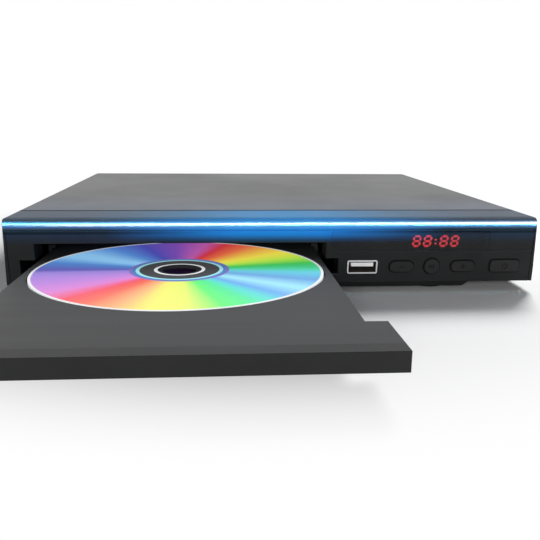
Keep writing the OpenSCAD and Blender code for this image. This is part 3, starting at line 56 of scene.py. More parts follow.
def on_face(x, up, out):
    """A point of the leaning face, up along it and out of it."""
    y = FACE_FRONT - up * math.sin(FACE_LEAN) - out * math.cos(FACE_LEAN)
    return Vector((x, y, FOOT_Z + up * math.cos(FACE_LEAN) - out * math.sin(FACE_LEAN)))


def middle_x(node):
    low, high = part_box(node)
    return (low.x + high.x) / 2


# ---- Camera: the photograph's viewing angle, for a 540 x 540 picture ----

CAMERA_AT = Vector((-25.53, -345.15, 78.52)) * MM
PITCH = math.radians(13.261)
YAW = math.radians(-4.440)
ROLL = math.radians(0.555)
FOCAL_PIXELS = 655.83
PICTURE = 540                          # pixels
SENSOR = 36                            # millimetres


def make_camera():
    level = Vector((math.cos(YAW), math.sin(YAW), 0))
    forward = Vector((-math.sin(YAW), math.cos(YAW), 0))
    ahead = forward * math.cos(PITCH) - Vector((0, 0, math.sin(PITCH)))
    upright = level.cross(ahead)
    right = level * math.cos(ROLL) + upright * math.sin(ROLL)
    up = upright * math.cos(ROLL) - level * math.sin(ROLL)
    data = bpy.data.cameras.new("camera")
    data.sensor_width = SENSOR
    data.lens = FOCAL_PIXELS * SENSOR / PICTURE
    data.clip_start = 0.01
    data.clip_end = 20
    cam = bpy.data.objects.new("camera", data)
    cam.matrix_world = Matrix((
        (right.x, up.x, -ahead.x, CAMERA_AT.x),
        (right.y, up.y, -ahead.y, CAMERA_AT.y),
        (right.z, up.z, -ahead.z, CAMERA_AT.z),
        (0, 0, 0, 1)))
    bpy.context.scene.collection.objects.link(cam)
    bpy.context.scene.camera = cam


make_camera()
bpy.context.scene.view_settings.view_transform = "Standard"


# ---- Node helpers ----

class Nodes:
    """A node tree with short calls for the nodes used here."""

    def __init__(self, tree):
        self.tree = tree
        self.tree.nodes.clear()
        self.coords = None

    def add(self, kind, **settings):
        node = self.tree.nodes.new(kind)
        for key, value in settings.items():
            setattr(node, key, value)
        return node

    def link(self, a, b):
        self.tree.links.new(a, b)

    def where(self):
        """The place on the surface, in the object's own frame."""
        if self.coords is None:
            self.coords = self.add("ShaderNodeTexCoord").outputs["Object"]
        return self.coords

    def axis(self, name, vector=None):
        node = self.add("ShaderNodeSeparateXYZ")
        self.link(vector or self.where(), node.inputs[0])
        return node.outputs[name]

    def scaled(self, scale):
        node = self.add("ShaderNodeMapping")
        node.inputs["Scale"].default_value = scale
        self.link(self.where(), node.inputs["Vector"])
        return node.outputs[0]

    def vector(self, kind, point, output="Vector"):
        """The place on the surface put together with a fixed point."""
        node = self.add("ShaderNodeVectorMath", operation=kind)
        self.link(self.where(), node.inputs[0])
        node.inputs[1].default_value = point
        return node.outputs[output]

    def math(self, kind, a, b=None):
        node = self.add("ShaderNodeMath", operation=kind)
        for socket, value in zip(node.inputs, (a, b)):
            if isinstance(value, (int, float)):
                socket.default_value = value
            elif value is not None:
                self.link(value, socket)
        return node.outputs[0]

    def span(self, value, low, high, to_low=0.0, to_high=1.0, smooth=False):
        """Maps low...high to to_low...to_high, and holds the ends outside it."""
        node = self.add("ShaderNodeMapRange")
        if smooth:
            node.interpolation_type = "SMOOTHSTEP"
        ends = {"From Min": low, "From Max": high, "To Min": to_low, "To Max": to_high}
        for key, number in ends.items():
            node.inputs[key].default_value = number
        self.link(value, node.inputs["Value"])
        return node.outputs[0]

    def plateau(self, value, rise, fall):
        """1 between two stretches: it rises over the first and falls over the second."""
        return self.math("MULTIPLY", self.span(value, *rise), self.span(value, *reversed(fall)))

    def noise(self, scale, detail=3.0, rough=0.5, vector=None):
        node = self.add("ShaderNodeTexNoise")
        node.inputs["Scale"].default_value = scale
        node.inputs["Detail"].default_value = detail
        node.inputs["Roughness"].default_value = rough
        self.link(vector or self.where(), node.inputs["Vector"])
        return node.outputs["Fac"]

    def ramp(self, value, stops):
        """Colours by value: stops are pairs of a place and a colour."""
        node = self.add("ShaderNodeValToRGB")
        points = node.color_ramp.elements
        points.remove(points[-1])
        points[0].position = stops[0][0]
        points[0].color = (*stops[0][1], 1)
        for at, color in stops[1:]:
            points.new(at).color = (*color, 1)
        self.link(value, node.inputs[0])
        return node.outputs[0]

    def tones(self, noise, dark, light):
        """Dark where the noise is low, light where it is high."""
        return self.ramp(noise, [(0.3, dark), (0.7, light)])

    def mix(self, factor, a, b):
        node = self.add("ShaderNodeMix", data_type="RGBA")
        self.link(factor, node.inputs["Factor"])
        for socket, value in zip((node.inputs[6], node.inputs[7]), (a, b)):    # the two colour sockets
            if isinstance(value, tuple):
                socket.default_value = (*value, 1)
            else:
                self.link(value, socket)
        return node.outputs[2]

    def backdrop_rays(self):
        """1 for what the camera sees, also in gloss or through glass, and 0 for light on the object."""
        path = self.add("ShaderNodeLightPath")
        seen = self.math("MAXIMUM", path.outputs["Is Camera Ray"], path.outputs["Is Glossy Ray"])
        return self.math("MAXIMUM", seen, path.outputs["Is Transmission Ray"])

    def mix_shaders(self, factor, a, b):
        node = self.add("ShaderNodeMixShader")
        for socket, value in zip(node.inputs, (factor, a, b)):
            self.link(value, socket)
        return node.outputs[0]


class Look(Nodes):
    """A material with one Principled shader. FIXED names what is the same all over its surface."""

    FIXED = {"metal": "Metallic", "rough": "Roughness", "ior": "IOR", "spec": "Specular IOR Level",
             "coat_rough": "Coat Roughness", "coat_ior": "Coat IOR", "glow": "Emission Strength",
             "clear": "Transmission Weight", "film": "Thin Film Thickness"}

    def __init__(self, name, **fixed):
        self.name = name
        self.mat = bpy.data.materials.new(name)
        self.mat.use_nodes = True
        super().__init__(self.mat.node_tree)
        out = self.add("ShaderNodeOutputMaterial")
        self.bsdf = self.add("ShaderNodeBsdfPrincipled")
        self.link(self.bsdf.outputs[0], out.inputs[0])
        for key, value in fixed.items():
            self.bsdf.inputs[self.FIXED[key]].default_value = value

    def to(self, value, socket):
        self.link(value, self.bsdf.inputs[socket])

    def gloss(self, noise, low, high):
        """A roughness that varies with the noise."""
        self.to(self.span(noise, 0.3, 0.7, low, high), "Roughness")

    def bump(self, height, strength, distance, edge=0.0):
        """Relief, over edges that are rounded by the radius edge."""
        node = self.add("ShaderNodeBump")
        node.inputs["Strength"].default_value = strength
        node.inputs["Distance"].default_value = distance
        self.link(height, node.inputs["Height"])
        if edge:
            bevel = self.add("ShaderNodeBevel", samples=4)
            bevel.inputs["Radius"].default_value = edge
            self.link(bevel.outputs[0], node.inputs["Normal"])
        self.to(node.outputs[0], "Normal")


def shade(color, by):
    """The colour made darker or lighter."""
    return tuple(min(1.0, c * by) for c in color)


# ---- Plastics, metals and boards ----

MOTTLE = 0.12                          # how much a moulding's colour varies


def moulded(name, color, rough, grain=2600, depth=0.25, spec=0.5, edge=0.0):
    """Moulded plastic: faint mottling, a fine grain and uneven gloss."""
    look = Look(name, spec=spec)
    cloud = look.noise(60, 4, 0.6)
    look.to(look.tones(cloud, shade(color, 1 - MOTTLE), shade(color, 1 + MOTTLE)), "Base Color")
    look.gloss(cloud, rough - 0.04, rough + 0.04)
    look.bump(look.noise(grain, 2, 0.6), depth, 0.04 * MM, edge)
    return look


def metal(name, color, rough, along=(1, 1, 1), scale=400, depth=0.15, edge=0.0):
    """Worked metal, with streaks along the axes where the scale along is small."""
    look = Look(name, metal=1.0)
    streak = look.noise(scale, 4, 0.65, look.scaled(along))
    look.to(look.ramp(streak, [(0.25, shade(color, 0.86)), (0.75, shade(color, 1.08))]), "Base Color")
    look.to(look.span(streak, 0.2, 0.8, rough - 0.06, rough + 0.08), "Roughness")
    look.bump(streak, depth, 0.03 * MM, edge)
    return look


def threaded(name, color):
    """Bright shaft with the fine ridges of a thread along Y."""
    look = metal(name, color, 0.18)
    wave = look.add("ShaderNodeTexWave", wave_type="BANDS", bands_direction="Y", wave_profile="TRI")
    wave.inputs["Scale"].default_value = 105
    look.link(look.where(), wave.inputs["Vector"])
    look.bump(wave.outputs["Fac"], 0.8, 0.3 * MM)
    return look


def board(name, color, line):
    """A circuit board: solder mask over raised tracks."""
    look = Look(name, spec=0.5, rough=0.32)
    brick = look.add("ShaderNodeTexBrick")
    brick.inputs["Scale"].default_value = 260
    brick.inputs["Mortar Size"].default_value = 0.12
    look.link(look.where(), brick.inputs["Vector"])
    cell = look.add("ShaderNodeTexVoronoi", feature="DISTANCE_TO_EDGE")
    cell.inputs["Scale"].default_value = 190
    look.link(look.where(), cell.inputs["Vector"])
    tracks = look.math("LESS_THAN", cell.outputs["Distance"], 0.09)
    both = look.math("MAXIMUM", tracks, brick.outputs["Fac"])
    look.to(look.mix(both, color, line), "Base Color")
    look.bump(both, 0.3, 0.04 * MM)
    return look


# ---- Front ----

PAINTED_GLOW_REACH = 100 * MM                  # half the width of the painted blue glow
PAINTED_LINE_REACH = (1.8 * MM, 4.0 * MM)      # half the height of the painted blue highlight line, at its ends and in its middle

# Heights of the painted highlight line and of the changes from one band to the next: painted glow, painted shade
# line, lacquer and the flat top's painted reflection
PAINTED_LINE_Z = TOP_Z - 2.7 * MM
PAINTED_GLOW_Z = (TOP_Z - 12.2 * MM, TOP_Z - 6.0 * MM)
PAINTED_SHADE_FROM = (TOP_Z - 7.0 * MM, TOP_Z - 6.2 * MM)
PAINTED_SHADE_TO = (TOP_Z - 5.8 * MM, TOP_Z - 5.0 * MM)
LACQUER_FROM = (TOP_Z - 4.7 * MM, TOP_Z - 4.0 * MM)
LACQUER_TO = (TOP_Z - 1.4 * MM, TOP_Z - 0.8 * MM)
PAINTED_REFLECTION_Z = (TOP_Z - 1.2 * MM, TOP_Z - 0.3 * MM)


def face_color(look, cloud, navy):
    """Charcoal, then a navy band of painted blue glow, a painted shade line, a blue painted highlight line on the
    rounded edge, and a lighter blue-grey flat top, painted reflection; the glow is brightest in the middle.
    """
    z = look.axis("Z")
    # 1 in the middle of the front, falling to 0 at the reach of the painted blue glow, which it spreads
    middle = look.span(look.math("ABSOLUTE", look.axis("X")), PAINTED_GLOW_REACH, 0.0, smooth=True)
    body = look.tones(cloud, (0.0188, 0.0188, 0.0190), (0.0236, 0.0236, 0.0238))
    # painted blue glow: a navy band on the upper face, lighter blue towards the middle
    painted_navy_glow = look.tones(cloud, (0.0165, 0.0310, 0.0550), (0.0220, 0.0380, 0.0650))
    glow = look.math("MULTIPLY", look.span(middle, 0.15, 0.9), navy)
    color = look.mix(navy, body, look.mix(glow, painted_navy_glow, (0.018, 0.230, 0.740)))
    # painted shade: a dark line under the rounded edge, faded out in the middle
    dark = look.math("MULTIPLY", look.plateau(z, PAINTED_SHADE_FROM, PAINTED_SHADE_TO), look.span(middle, 0, 0.8, 0.8, 0))
    color = look.mix(dark, color, (0.004, 0.007, 0.014))
    # painted reflection: the flat top lighter and blue-grey, bluer in the middle where the painted glow is
    top = look.tones(cloud, (0.078, 0.091, 0.118), (0.092, 0.106, 0.136))
    top = look.mix(middle, top, (0.078, 0.220, 0.380))
    color = look.mix(look.span(z, *PAINTED_REFLECTION_Z, smooth=True), color, top)
    # painted highlight: a bright blue line along the rounded edge, wider and brighter in the middle
    off_edge = look.math("ABSOLUTE", look.math("SUBTRACT", z, PAINTED_LINE_Z))
    reach = look.span(middle, 0, 1, *PAINTED_LINE_REACH)
    line = look.span(look.math("DIVIDE", off_edge, reach), 1, 0, smooth=True)
    blue = look.ramp(middle, [(0, (0.012, 0.15, 0.55)), (1, (0.030, 0.30, 0.80))])
    return look.mix(line, color, blue)


def fascia_gloss():
    """Charcoal moulding, satin below, with a lacquered rounded edge along its top; its colour carries the painted
    glow, shade, highlight and reflection of face_color.
    """
    look = Look("fascia_gloss", ior=1.5, spec=0.03, coat_rough=0.19, coat_ior=1.32)
    cloud = look.noise(45, 4, 0.6)
    z = look.axis("Z")
    look.to(face_color(look, cloud, look.span(z, *PAINTED_GLOW_Z, smooth=True)), "Base Color")
    look.gloss(cloud, 0.42, 0.50)
    look.to(look.plateau(z, LACQUER_FROM, LACQUER_TO), "Coat Weight")
    look.bump(look.noise(2600, 2, 0.6), 0.08, 0.04 * MM, 0.3 * MM)
    return look


def smoked_window():
    """Smoked acrylic in the face's colour, painted glow and highlight included, that lets the lit digits through.
    """
    look = Look("smoked_window", ior=1.49, spec=0.07)
    cloud = look.noise(45, 4, 0.6)
    navy = look.span(look.axis("Z"), *PAINTED_GLOW_Z, smooth=True)
    look.to(face_color(look, cloud, navy), "Base Color")
    look.to(look.span(navy, 0, 1, 0.30, 0.22), "Roughness")
    look.to(look.span(cloud, 0.3, 0.7, 0.895, 0.905), "Alpha")
    return look


def lit_red():
    look = Look("lit_red", rough=0.4, glow=52.0)
    spot = look.noise(900, 2)
    look.to(look.tones(spot, (0.95, 0.05, 0.09), (1.0, 0.10, 0.15)), "Base Color")
    look.to(look.tones(spot, (1.0, 0.038, 0.062), (1.0, 0.076, 0.100)), "Emission Color")
    return look


def socket_shell():
    """Bright flange round the socket's mouth, and the same metal painted dark inside it, painted shade."""
    look = Look("socket_shell", metal=0.5)
    streak = look.noise(500, 3, 0.6, look.scaled((1, 0.2, 1)))
    outward = on_face(0, 0, 1) - on_face(0, 0, 0)
    along = look.vector("DOT_PRODUCT", outward, "Value")
    out_of_face = look.math("SUBTRACT", along, outward.dot(on_face(0, 0, 0)))
    inside = look.span(out_of_face, 0.3 * MM, 0.15 * MM)
    bright = look.tones(streak, (0.88, 0.89, 0.90), (0.96, 0.97, 0.98))
    # painted shade: the metal behind the face dark brown-grey
    painted_inner_shade = look.tones(streak, (0.085, 0.066, 0.062), (0.120, 0.096, 0.090))
    look.to(look.mix(inside, bright, painted_inner_shade), "Base Color")
    look.to(look.span(inside, 0, 1, 0.30, 0.55), "Roughness")
    look.bump(streak, 0.1, 0.03 * MM, 0.1 * MM)
    return look


# ---- Casing and tray ----

GLOW_TINT_BACK = COVER_FRONT + 70 * MM      # the cover's painted blue glow fades out here
# painted shade along the cover's front edge, at the seam, between these
SEAM_SHADE_SPAN = (COVER_FRONT + 1.4 * MM, COVER_FRONT + 2.6 * MM)


def cover_paint():
    """Satin paint on sheet metal, with a very fine orange peel; lighter and bluer towards the front, a painted
    blue glow, and dark along its front edge, painted shade.
    """
    look = Look("cover_paint", spec=0.15)
    cloud = look.noise(18, 4, 0.6)
    y = look.axis("Y")
    paint = look.tones(cloud, (0.040, 0.041, 0.043), (0.051, 0.052, 0.054))
    # painted blue glow: lighter and bluer towards the front
    paint = look.mix(look.span(y, GLOW_TINT_BACK, COVER_FRONT, smooth=True), paint, (0.054, 0.069, 0.096))
    # painted shade: a dark strip along the front edge
    painted_seam_shade = look.span(y, *reversed(SEAM_SHADE_SPAN))
    look.to(look.mix(painted_seam_shade, paint, (0.006, 0.009, 0.014)), "Base Color")
    look.to(look.math("MAXIMUM", look.span(cloud, 0.3, 0.7, 0.34, 0.42), painted_seam_shade), "Roughness")
    look.bump(look.noise(900, 3, 0.6), 0.10, 0.05 * MM, 0.4 * MM)
    return look


def chassis_dark():
    """Near-black sheet for the pan and the rear wall."""
    look = Look("chassis_dark", spec=0.3)
    cloud = look.noise(40, 4, 0.6)
    look.to(look.tones(cloud, (0.0090, 0.0092, 0.0096), (0.0125, 0.0127, 0.0130)), "Base Color")
    look.gloss(cloud, 0.46, 0.56)
    look.bump(look.noise(1500, 3, 0.6), 0.2, 0.05 * MM, 0.3 * MM)
    return look


def trim_plastic():
    """Matt front moulding whose flat top is lighter than its face, painted light on the side that faces up."""
    look = Look("tray_trim", spec=0.18)
    cloud = look.noise(60, 4, 0.6)
    face = look.tones(cloud, (0.0152, 0.0153, 0.0155), (0.0190, 0.0191, 0.0194))
    # painted light: the upward-facing top lighter than the face
    flat = look.tones(cloud, (0.0290, 0.0291, 0.0293), (0.0365, 0.0366, 0.0368))
    upward = look.axis("Z", look.add("ShaderNodeNewGeometry").outputs["True Normal"])
    look.to(look.mix(look.span(upward, 0.6, 0.9), face, flat), "Base Color")
    look.gloss(cloud, 0.46, 0.54)
    look.bump(look.noise(2600, 2, 0.6), 0.25, 0.04 * MM, 0.3 * MM)
    return look


def tray_plastic():
    """Matt moulding with faint strokes along the tray's width."""
    look = Look("tray_plastic", spec=0.22)
    stroke = look.noise(120, 4, 0.6, look.scaled((0.08, 1, 1)))
    look.to(look.tones(stroke, (0.0450, 0.0450, 0.0455), (0.0570, 0.0570, 0.0576)), "Base Color")
    look.gloss(stroke, 0.48, 0.58)
    look.bump(look.noise(2200, 2, 0.6), 0.2, 0.04 * MM, 0.25 * MM)
    return look


# ---- Disc and lens ----

DISC_COLOUR_AND_GLOW_SHARE = 0.56                      # share of the disc's colour in its base colour, and again in its emission, a painted glow
DISC_WHITE = (0.93, 0.95, 0.96)
RIM_R = 58.9 * MM                      # the clear rim begins here
HUB_R = 20.7 * MM                      # the hub's rings end here
TRACKS = 2400.0                        # waves of the track noise per metre of radius

# The hub's rings, from their inner radius on
HUB_RINGS = [
    (0, (0.02, 0.02, 0.022)),
    (9.2 * MM, DISC_WHITE),
    (10.65 * MM, (0.075, 0.075, 0.078)),
    (16.6 * MM, (0.42, 0.86, 0.92)),
    (18.15 * MM, (0.10, 0.26, 0.62)),
    (19.5 * MM, (0.26, 0.20, 0.58)),
]

# The painted rainbow sheen's spokes: hue, saturation and value, by degrees anticlockwise from the right; values
# over 1 on the back half are painted light where the casing shades the disc
PAINTED_SHEEN_SPOKES = [
    (0, 155, 0.62, 0.92), (11, 130, 0.68, 0.90), (22, 80, 0.68, 1.05), (35, 55, 0.68, 1.10),
    (58, 15, 0.72, 1.05), (70, 355, 0.78, 0.95), (80, 310, 0.52, 0.85), (95, 270, 0.58, 0.80),
    (112, 240, 0.58, 0.80), (128, 215, 0.60, 0.95), (145, 205, 0.42, 1.10), (153, 205, 0.42, 1.10),
    (165, 215, 0.60, 0.95), (180, 245, 0.48, 0.80), (184, 255, 0.38, 0.90), (204, 280, 0.38, 0.90),
    (218, 305, 0.38, 0.90), (230, 355, 0.66, 1.00), (240, 10, 0.64, 1.00), (252, 30, 0.50, 1.00),
    (264, 60, 0.55, 1.00), (276, 65, 0.56, 1.00), (288, 125, 0.58, 1.00), (298, 145, 0.62, 0.95),
    (306, 175, 0.56, 0.90), (314, 210, 0.52, 0.95), (326, 190, 0.32, 1.00), (340, 210, 0.50, 0.90),
    (352, 190, 0.52, 0.92), (360, 155, 0.62, 0.92),
]


def linear(value):
    """A display value as linear light."""
    return value / 12.92 if value <= 0.04045 else ((value + 0.055) / 1.055) ** 2.4


def hsv(hue, saturation, value):
    """The linear colour of a hue in degrees."""
    def channel(n):
        k = (n + hue / 60) % 6
        return linear(value - value * saturation * max(0, min(k, 4 - k, 1)))
    return (channel(5), channel(3), channel(1))


def disc_face():
    """The data side: a clear hub, its rings, and a painted rainbow sheen spread round the disc; all of it glows in
    its own colour, painted light.
    """
    look = Look("disc_face", spec=0.12, glow=1.0)
    from_middle = look.vector("SUBTRACT", (DISC_AXIS[0], DISC_AXIS[1], 0))
    x = look.axis("X", from_middle)
    y = look.axis("Y", from_middle)
    squares = look.math("ADD", look.math("MULTIPLY", x, x), look.math("MULTIPLY", y, y))
    radius = look.math("SQRT", squares)
    turns = look.math("DIVIDE", look.math("ARCTAN2", y, x), 2 * math.pi)
    turns = look.math("FRACT", look.math("ADD", turns, 1.0))
    # painted rainbow sheen, by angle round the disc's axis
    color = look.ramp(turns, [(at / 360, shade(hsv(*tone), DISC_COLOUR_AND_GLOW_SHARE)) for at, *tone in PAINTED_SHEEN_SPOKES])
    along_radius = look.add("ShaderNodeCombineXYZ")
    look.link(look.math("MULTIPLY", radius, TRACKS), along_radius.inputs[0])
    tracks = look.noise(1, 3, 0.7, along_radius.outputs[0])
    color = look.mix(look.span(tracks, 0.35, 0.65, 0.0, 0.04), color, (0.42, 0.45, 0.48))
    ends = [start for start, tone in HUB_RINGS[1:]] + [HUB_R]
    for (start, tone), end in zip(HUB_RINGS, ends):
        outside = look.math("GREATER_THAN", radius, start)
        inside = look.math("LESS_THAN", radius, end)
        color = look.mix(look.math("MULTIPLY", outside, inside), color, shade(tone, DISC_COLOUR_AND_GLOW_SHARE))
    color = look.mix(look.math("GREATER_THAN", radius, RIM_R), color, shade(DISC_WHITE, DISC_COLOUR_AND_GLOW_SHARE))
    look.to(color, "Base Color")
    # painted glow: the disc emits its own colour, so it stays bright where the casing shades it
    look.to(color, "Emission Color")
    look.gloss(tracks, 0.27, 0.30)
    look.bump(tracks, 0.02, 0.02 * MM)
    return look


def lens_glass():
    look = Look("lens_glass", ior=1.5, clear=0.85, film=420.0)
    look.to(look.tones(look.noise(300), (0.5, 0.62, 0.85), (0.6, 0.72, 0.92)), "Base Color")
    look.gloss(look.noise(200), 0.03, 0.08)
    return look


# ---- Looks by material slot, and by node where a node differs from its slot ----

LOOKS = {look.name: look for look in (
    metal("steel", (0.46, 0.47, 0.48), 0.36, (1, 0.12, 1), 300, 0.12, 0.2 * MM),
    cover_paint(),
    fascia_gloss(),
    moulded("black_plastic", (0.018, 0.018, 0.019), 0.5, edge=0.2 * MM),
    moulded("button_plastic", (0.0225, 0.0226, 0.0229), 0.5, depth=0.12, spec=0.12, edge=0.3 * MM),
    tray_plastic(),
    trim_plastic(),
    moulded("rubber", (0.012, 0.012, 0.012), 0.78, 1400, 0.4, spec=0.3),
    smoked_window(),
    lit_red(),
    metal("chrome", (0.86, 0.87, 0.89), 0.13, depth=0.05, edge=0.15 * MM),
    moulded("white_plastic", (0.80, 0.80, 0.78), 0.4),
    moulded("nylon", (0.72, 0.69, 0.60), 0.45),
    metal("brass", (0.76, 0.58, 0.27), 0.26),
    board("board_green", (0.012, 0.105, 0.045), (0.03, 0.2, 0.08)),
    board("board_tan", (0.38, 0.25, 0.10), (0.46, 0.33, 0.16)),
    moulded("chip_black", (0.015, 0.015, 0.016), 0.55),
    moulded("capacitor_blue", (0.015, 0.035, 0.11), 0.3, spec=0.6),
    moulded("transformer_tape", (0.38, 0.30, 0.05), 0.4),
    moulded("ribbon", (0.62, 0.60, 0.52), 0.4),
    disc_face(),
    lens_glass(),
    moulded("jack_yellow", (0.80, 0.56, 0.02), 0.35),
    moulded("jack_white", (0.80, 0.80, 0.78), 0.35),
    moulded("jack_red", (0.58, 0.025, 0.03), 0.35),
    metal("zinc", (0.62, 0.63, 0.64), 0.3),
)}
NODE_LOOKS = {
    "lead_screw": threaded("lead_screw_thread", (0.72, 0.73, 0.75)),
    "bottom_chassis": chassis_dark(),
    "display_module": moulded("module_black", (0.010, 0.010, 0.011), 0.6, depth=0.02, spec=0.05),
    "ir_receiver": moulded("receiver_black", (0.010, 0.009, 0.012), 0.5, depth=0.02, spec=0.05),
    "front_board": board("board_black", (0.0080, 0.0082, 0.0090), (0.0120, 0.0122, 0.0130)),
    "usb_shell": socket_shell(),
    "usb_tongue": moulded("usb_tongue", (0.93, 0.93, 0.92), 0.4),
}


def dress_nodes():
    """Gives each node of the frame its look."""
    for part in frame["record"]["subparts"]:
        slots = frame["nodes"][part["node"]].data.materials
        look = NODE_LOOKS.get(part["node"], LOOKS[part["material_slot"]])
        if not slots:
            slots.append(look.mat)
        for i in range(len(slots)):
            slots[i] = look.mat


dress_nodes()

# ---- Painted shadows round the button holes and symbols on the buttons, in millimetres ----

ROW_UP = 7.4                           # middle of the buttons, up the face
BUTTON_OUT = 0.5                       # how far the buttons stand out of the face
BUTTON_GAP = 0.2                       # between a button and its hole
PILL = (11.0, 4.9, 2.45)               # width, height and corner radius of the buttons
ROUND = (7.0, 7.0, 3.5)
WIDE = (13.6, 5.6, 1.6)
GAP_SHADOW_WIDTH = 0.38                             # mean width of the painted shadow ring round a button's hole
GAP_SHADOW_SHIFT = (-0.16, 0.12)              # the painted shadow is widest at its left and upper side
GAP_SHADOW_FOOT = -0.03                       # how far the shadow ring's foot and sides stand out of the face
GAP_SHADOW_OUTER = 0.02
GAP_SHADOW_INNER = 0.03
MARK_FOOT = BUTTON_OUT - 0.02          # how far a symbol's foot and top stand out of the face
MARK_TOP = BUTTON_OUT + 0.07
STROKE = 0.32                          # width of a symbol's lines
# ink of the symbols, also used for the painted shadow rings round the holes
INK_AND_SHADE = moulded("symbol_ink_and_shade", (0.0035, 0.0036, 0.0038), 0.5, spec=0.1)


def rounded(width, height, radius, steps=12):
    """A closed outline with round corners."""
    points = []
    for cx, cy, start in ((1, 1, 0), (-1, 1, 90), (-1, -1, 180), (1, -1, 270)):
        for i in range(steps + 1):
            a = math.radians(start + 90 * i / steps)
            points.append((cx * (width / 2 - radius) + radius * math.cos(a),
                           cy * (height / 2 - radius) + radius * math.sin(a)))
    return points


def bar(cx, cy, width, height):
    """A rectangle round its middle."""
    left = cx - width / 2
    low = cy - height / 2
    return [(left, low), (left + width, low), (left + width, low + height), (left, low + height)]


def ring_arc(inner, outer, start, end, steps=20):
    """A closed outline along a part of a ring, between two angles in degrees."""
    angles = [math.radians(start + (end - start) * i / steps) for i in range(steps + 1)]
    there = [(outer * math.cos(a), outer * math.sin(a)) for a in angles]
    back = [(inner * math.cos(a), inner * math.sin(a)) for a in reversed(angles)]
    return there + back


def add_loop(mesh, outline, button, out):
    """Sets an outline round a button's middle, out of the face."""
    x = middle_x(button)
    return [mesh.verts.new(on_face(x + a * MM, (ROW_UP + b) * MM, out * MM)) for a, b in outline]


def add_wall(mesh, one, two):
    """Joins two loops of as many points by a strip of faces."""
    for i in range(len(one)):
        after = (i + 1) % len(one)
        mesh.faces.new((one[i], one[after], two[after], two[i]))


def add_piece(name, mesh, body):
    """Makes the mesh a piece that rides on a body."""
    bmesh.ops.recalc_face_normals(mesh, faces=mesh.faces)
    data = bpy.data.meshes.new(name)
    mesh.to_mesh(data)
    mesh.free()
    data.materials.append(INK_AND_SHADE.mat)
    piece = bpy.data.objects.new(name, data)
    bpy.context.scene.collection.objects.link(piece)
    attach(piece, body)


def add_gap_shadow(name, button, width, height, radius):
    """A painted shadow round a button's hole: a dark ring that lies on the face, widest at its upper left."""
    grow = BUTTON_GAP + GAP_SHADOW_WIDTH
    inner = rounded(width + 2 * BUTTON_GAP, height + 2 * BUTTON_GAP, radius + BUTTON_GAP)
    outer = rounded(width + 2 * grow, height + 2 * grow, radius + grow)
    outer = [(a + GAP_SHADOW_SHIFT[0], b + GAP_SHADOW_SHIFT[1]) for a, b in outer]
    section = ((inner, GAP_SHADOW_FOOT), (outer, GAP_SHADOW_FOOT), (outer, GAP_SHADOW_OUTER), (inner, GAP_SHADOW_INNER))
    mesh = bmesh.new()
    loops = [add_loop(mesh, outline, button, out) for outline, out in section]
    for one, two in zip(loops, loops[1:] + loops[:1]):
        add_wall(mesh, one, two)
    bmesh.ops.remove_doubles(mesh, verts=mesh.verts, dist=1e-7)    # where two round corners meet
    add_piece(name, mesh, "player")


def add_mark(name, button, body, outlines):
    """A thin raised symbol from closed outlines round the button's middle."""
    mesh = bmesh.new()
    for outline in outlines:
        foot = add_loop(mesh, outline, button, MARK_FOOT)
        top = add_loop(mesh, outline, button, MARK_TOP)
        mesh.faces.new(list(reversed(foot)))
        mesh.faces.new(top)
        add_wall(mesh, foot, top)
    add_piece(name, mesh, body)


add_gap_shadow("minus_gap_shadow", "minus_button", *PILL)
add_gap_shadow("play_gap_shadow", "play_button", *ROUND)
add_gap_shadow("plus_gap_shadow", "plus_button", *PILL)
add_gap_shadow("power_gap_shadow", "power_button", *WIDE)
add_mark("minus_mark", "minus_button", "minus_key", [bar(0, -0.1, 2.2, STROKE)])
add_mark("pause_mark", "play_button", "play_key",
         [bar(-0.1, 0, 0.3, 1.9), bar(0.65, 0, 0.3, 1.9), [(-1.5, -0.9), (-0.6, 0), (-1.5, 0.9)]])
add_mark("plus_mark", "plus_button", "plus_key",
         [bar(0, 0, STROKE, 2.2), bar(-0.66, 0, 1.0, STROKE), bar(0.66, 0, 1.0, STROKE)])
add_mark("power_mark", "power_button", "power_key",
         [ring_arc(1.0, 1.0 + STROKE, 125, 415), bar(0, 0.95, STROKE, 1.3)])

# ---- Floor, world and lamps ----

SHADOW_MIDDLE = (0, 0.06, 0)           # the floor keeps its shadows round this point
SHADOW_REACH = (0.155, 0.275)          # and fades to white between these distances


def floor_material():
    """Pale floor that keeps shadows near the object, white further away and clear from below."""
    mat = bpy.data.materials.new("floor")
    mat.use_nodes = True
    nodes = Nodes(mat.node_tree)
    paint = nodes.add("ShaderNodeBsdfDiffuse")
    paint.inputs["Color"].default_value = (0.95, 0.95, 0.95, 1)
    white = nodes.add("ShaderNodeEmission")
    white.inputs["Strength"].default_value = 1.0
    distance = nodes.vector("DISTANCE", SHADOW_MIDDLE, "Value")
    fade = nodes.span(distance, *SHADOW_REACH, smooth=True)
    fade = nodes.math("MULTIPLY", fade, nodes.backdrop_rays())
    above = nodes.mix_shaders(fade, paint.outputs[0], white.outputs[0])
    below = nodes.add("ShaderNodeBsdfTransparent")
    side = nodes.add("ShaderNodeNewGeometry").outputs["Backfacing"]
    out = nodes.add("ShaderNodeOutputMaterial")
    mixed = nodes.mix_shaders(side, above, below.outputs[0])
    nodes.link(mixed, out.inputs[0])
    return mat


def make_floor():
    bpy.ops.mesh.primitive_plane_add(size=6)
    floor = bpy.context.object
    floor.name = "floor"
    floor.location.z = -0.2 * MM
    floor.data.materials.append(floor_material())


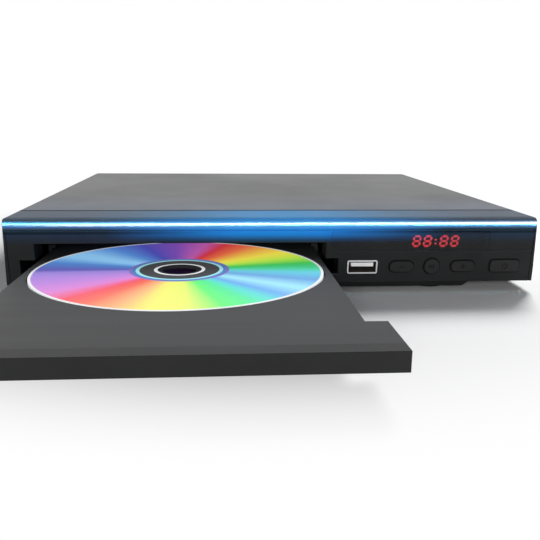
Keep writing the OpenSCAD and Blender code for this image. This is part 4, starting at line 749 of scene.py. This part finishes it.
def make_world():
    """White to look at, and a weak soft light on the object."""
    world = bpy.data.worlds.new("world")
    bpy.context.scene.world = world
    world.use_nodes = True
    nodes = Nodes(world.node_tree)
    soft = nodes.add("ShaderNodeBackground")
    soft.inputs["Color"].default_value = (0.94, 0.97, 1.0, 1)
    soft.inputs["Strength"].default_value = 0.12
    white = nodes.add("ShaderNodeBackground")
    white.inputs["Color"].default_value = (1, 1, 1, 1)
    out = nodes.add("ShaderNodeOutputWorld")
    mixed = nodes.mix_shaders(nodes.backdrop_rays(), soft.outputs[0], white.outputs[0])
    nodes.link(mixed, out.inputs[0])


def area_lamp(name, at, target, size, power, color=(1, 1, 1)):
    """A rectangular lamp that points at a target."""
    data = bpy.data.lights.new(name, "AREA")
    data.shape = "RECTANGLE"
    data.size = size[0]
    data.size_y = size[1]
    data.energy = power
    data.color = color
    lamp = bpy.data.objects.new(name, data)
    lamp.location = at
    lamp.rotation_euler = (Vector(target) - Vector(at)).to_track_quat("-Z", "Y").to_euler()
    lamp.visible_camera = False
    bpy.context.scene.collection.objects.link(lamp)
    return lamp


def light_object():
    """Two soft boxes that leave no mirror image in the object."""
    back = area_lamp("back_box", (0.50, 0.65, 0.62), (0, -0.02, 0), (0.30, 0.30), 13.5)
    front = area_lamp("front_box", (-0.20, -1.25, 0.20), (0, -0.06, 0.02), (0.5, 0.5), 10.0)
    for box in (back, front):
        box.visible_glossy = False


LINE_MIDDLE = (0, -0.06, 0.03)         # what the strips point at
LINE_TURN = math.radians(-19)          # levels their mirror image with the edge


def light_edge():
    """Two strips that mirror in the front's lacquered edge as a bright line, and light nothing else."""
    front = bpy.data.collections.new("front_only")
    for node in ("front_fascia", "display_window"):
        front.objects.link(frame["nodes"][node])
    line = area_lamp("edge_line", (0.05, -0.30, 0.62), LINE_MIDDLE, (1.8, 0.16), 110, (0.20, 0.80, 1.0))
    core = area_lamp("edge_core", (0.14, -0.288, 0.59), LINE_MIDDLE, (0.9, 0.12), 26, (1.0, 0.8, 0.6))
    for strip in (line, core):
        strip.rotation_euler.rotate_axis("Z", LINE_TURN)
        strip.visible_diffuse = False
        strip.light_linking.receiver_collection = front
        strip.data.cycles.max_bounces = 0


make_floor()
make_world()
light_object()
light_edge()
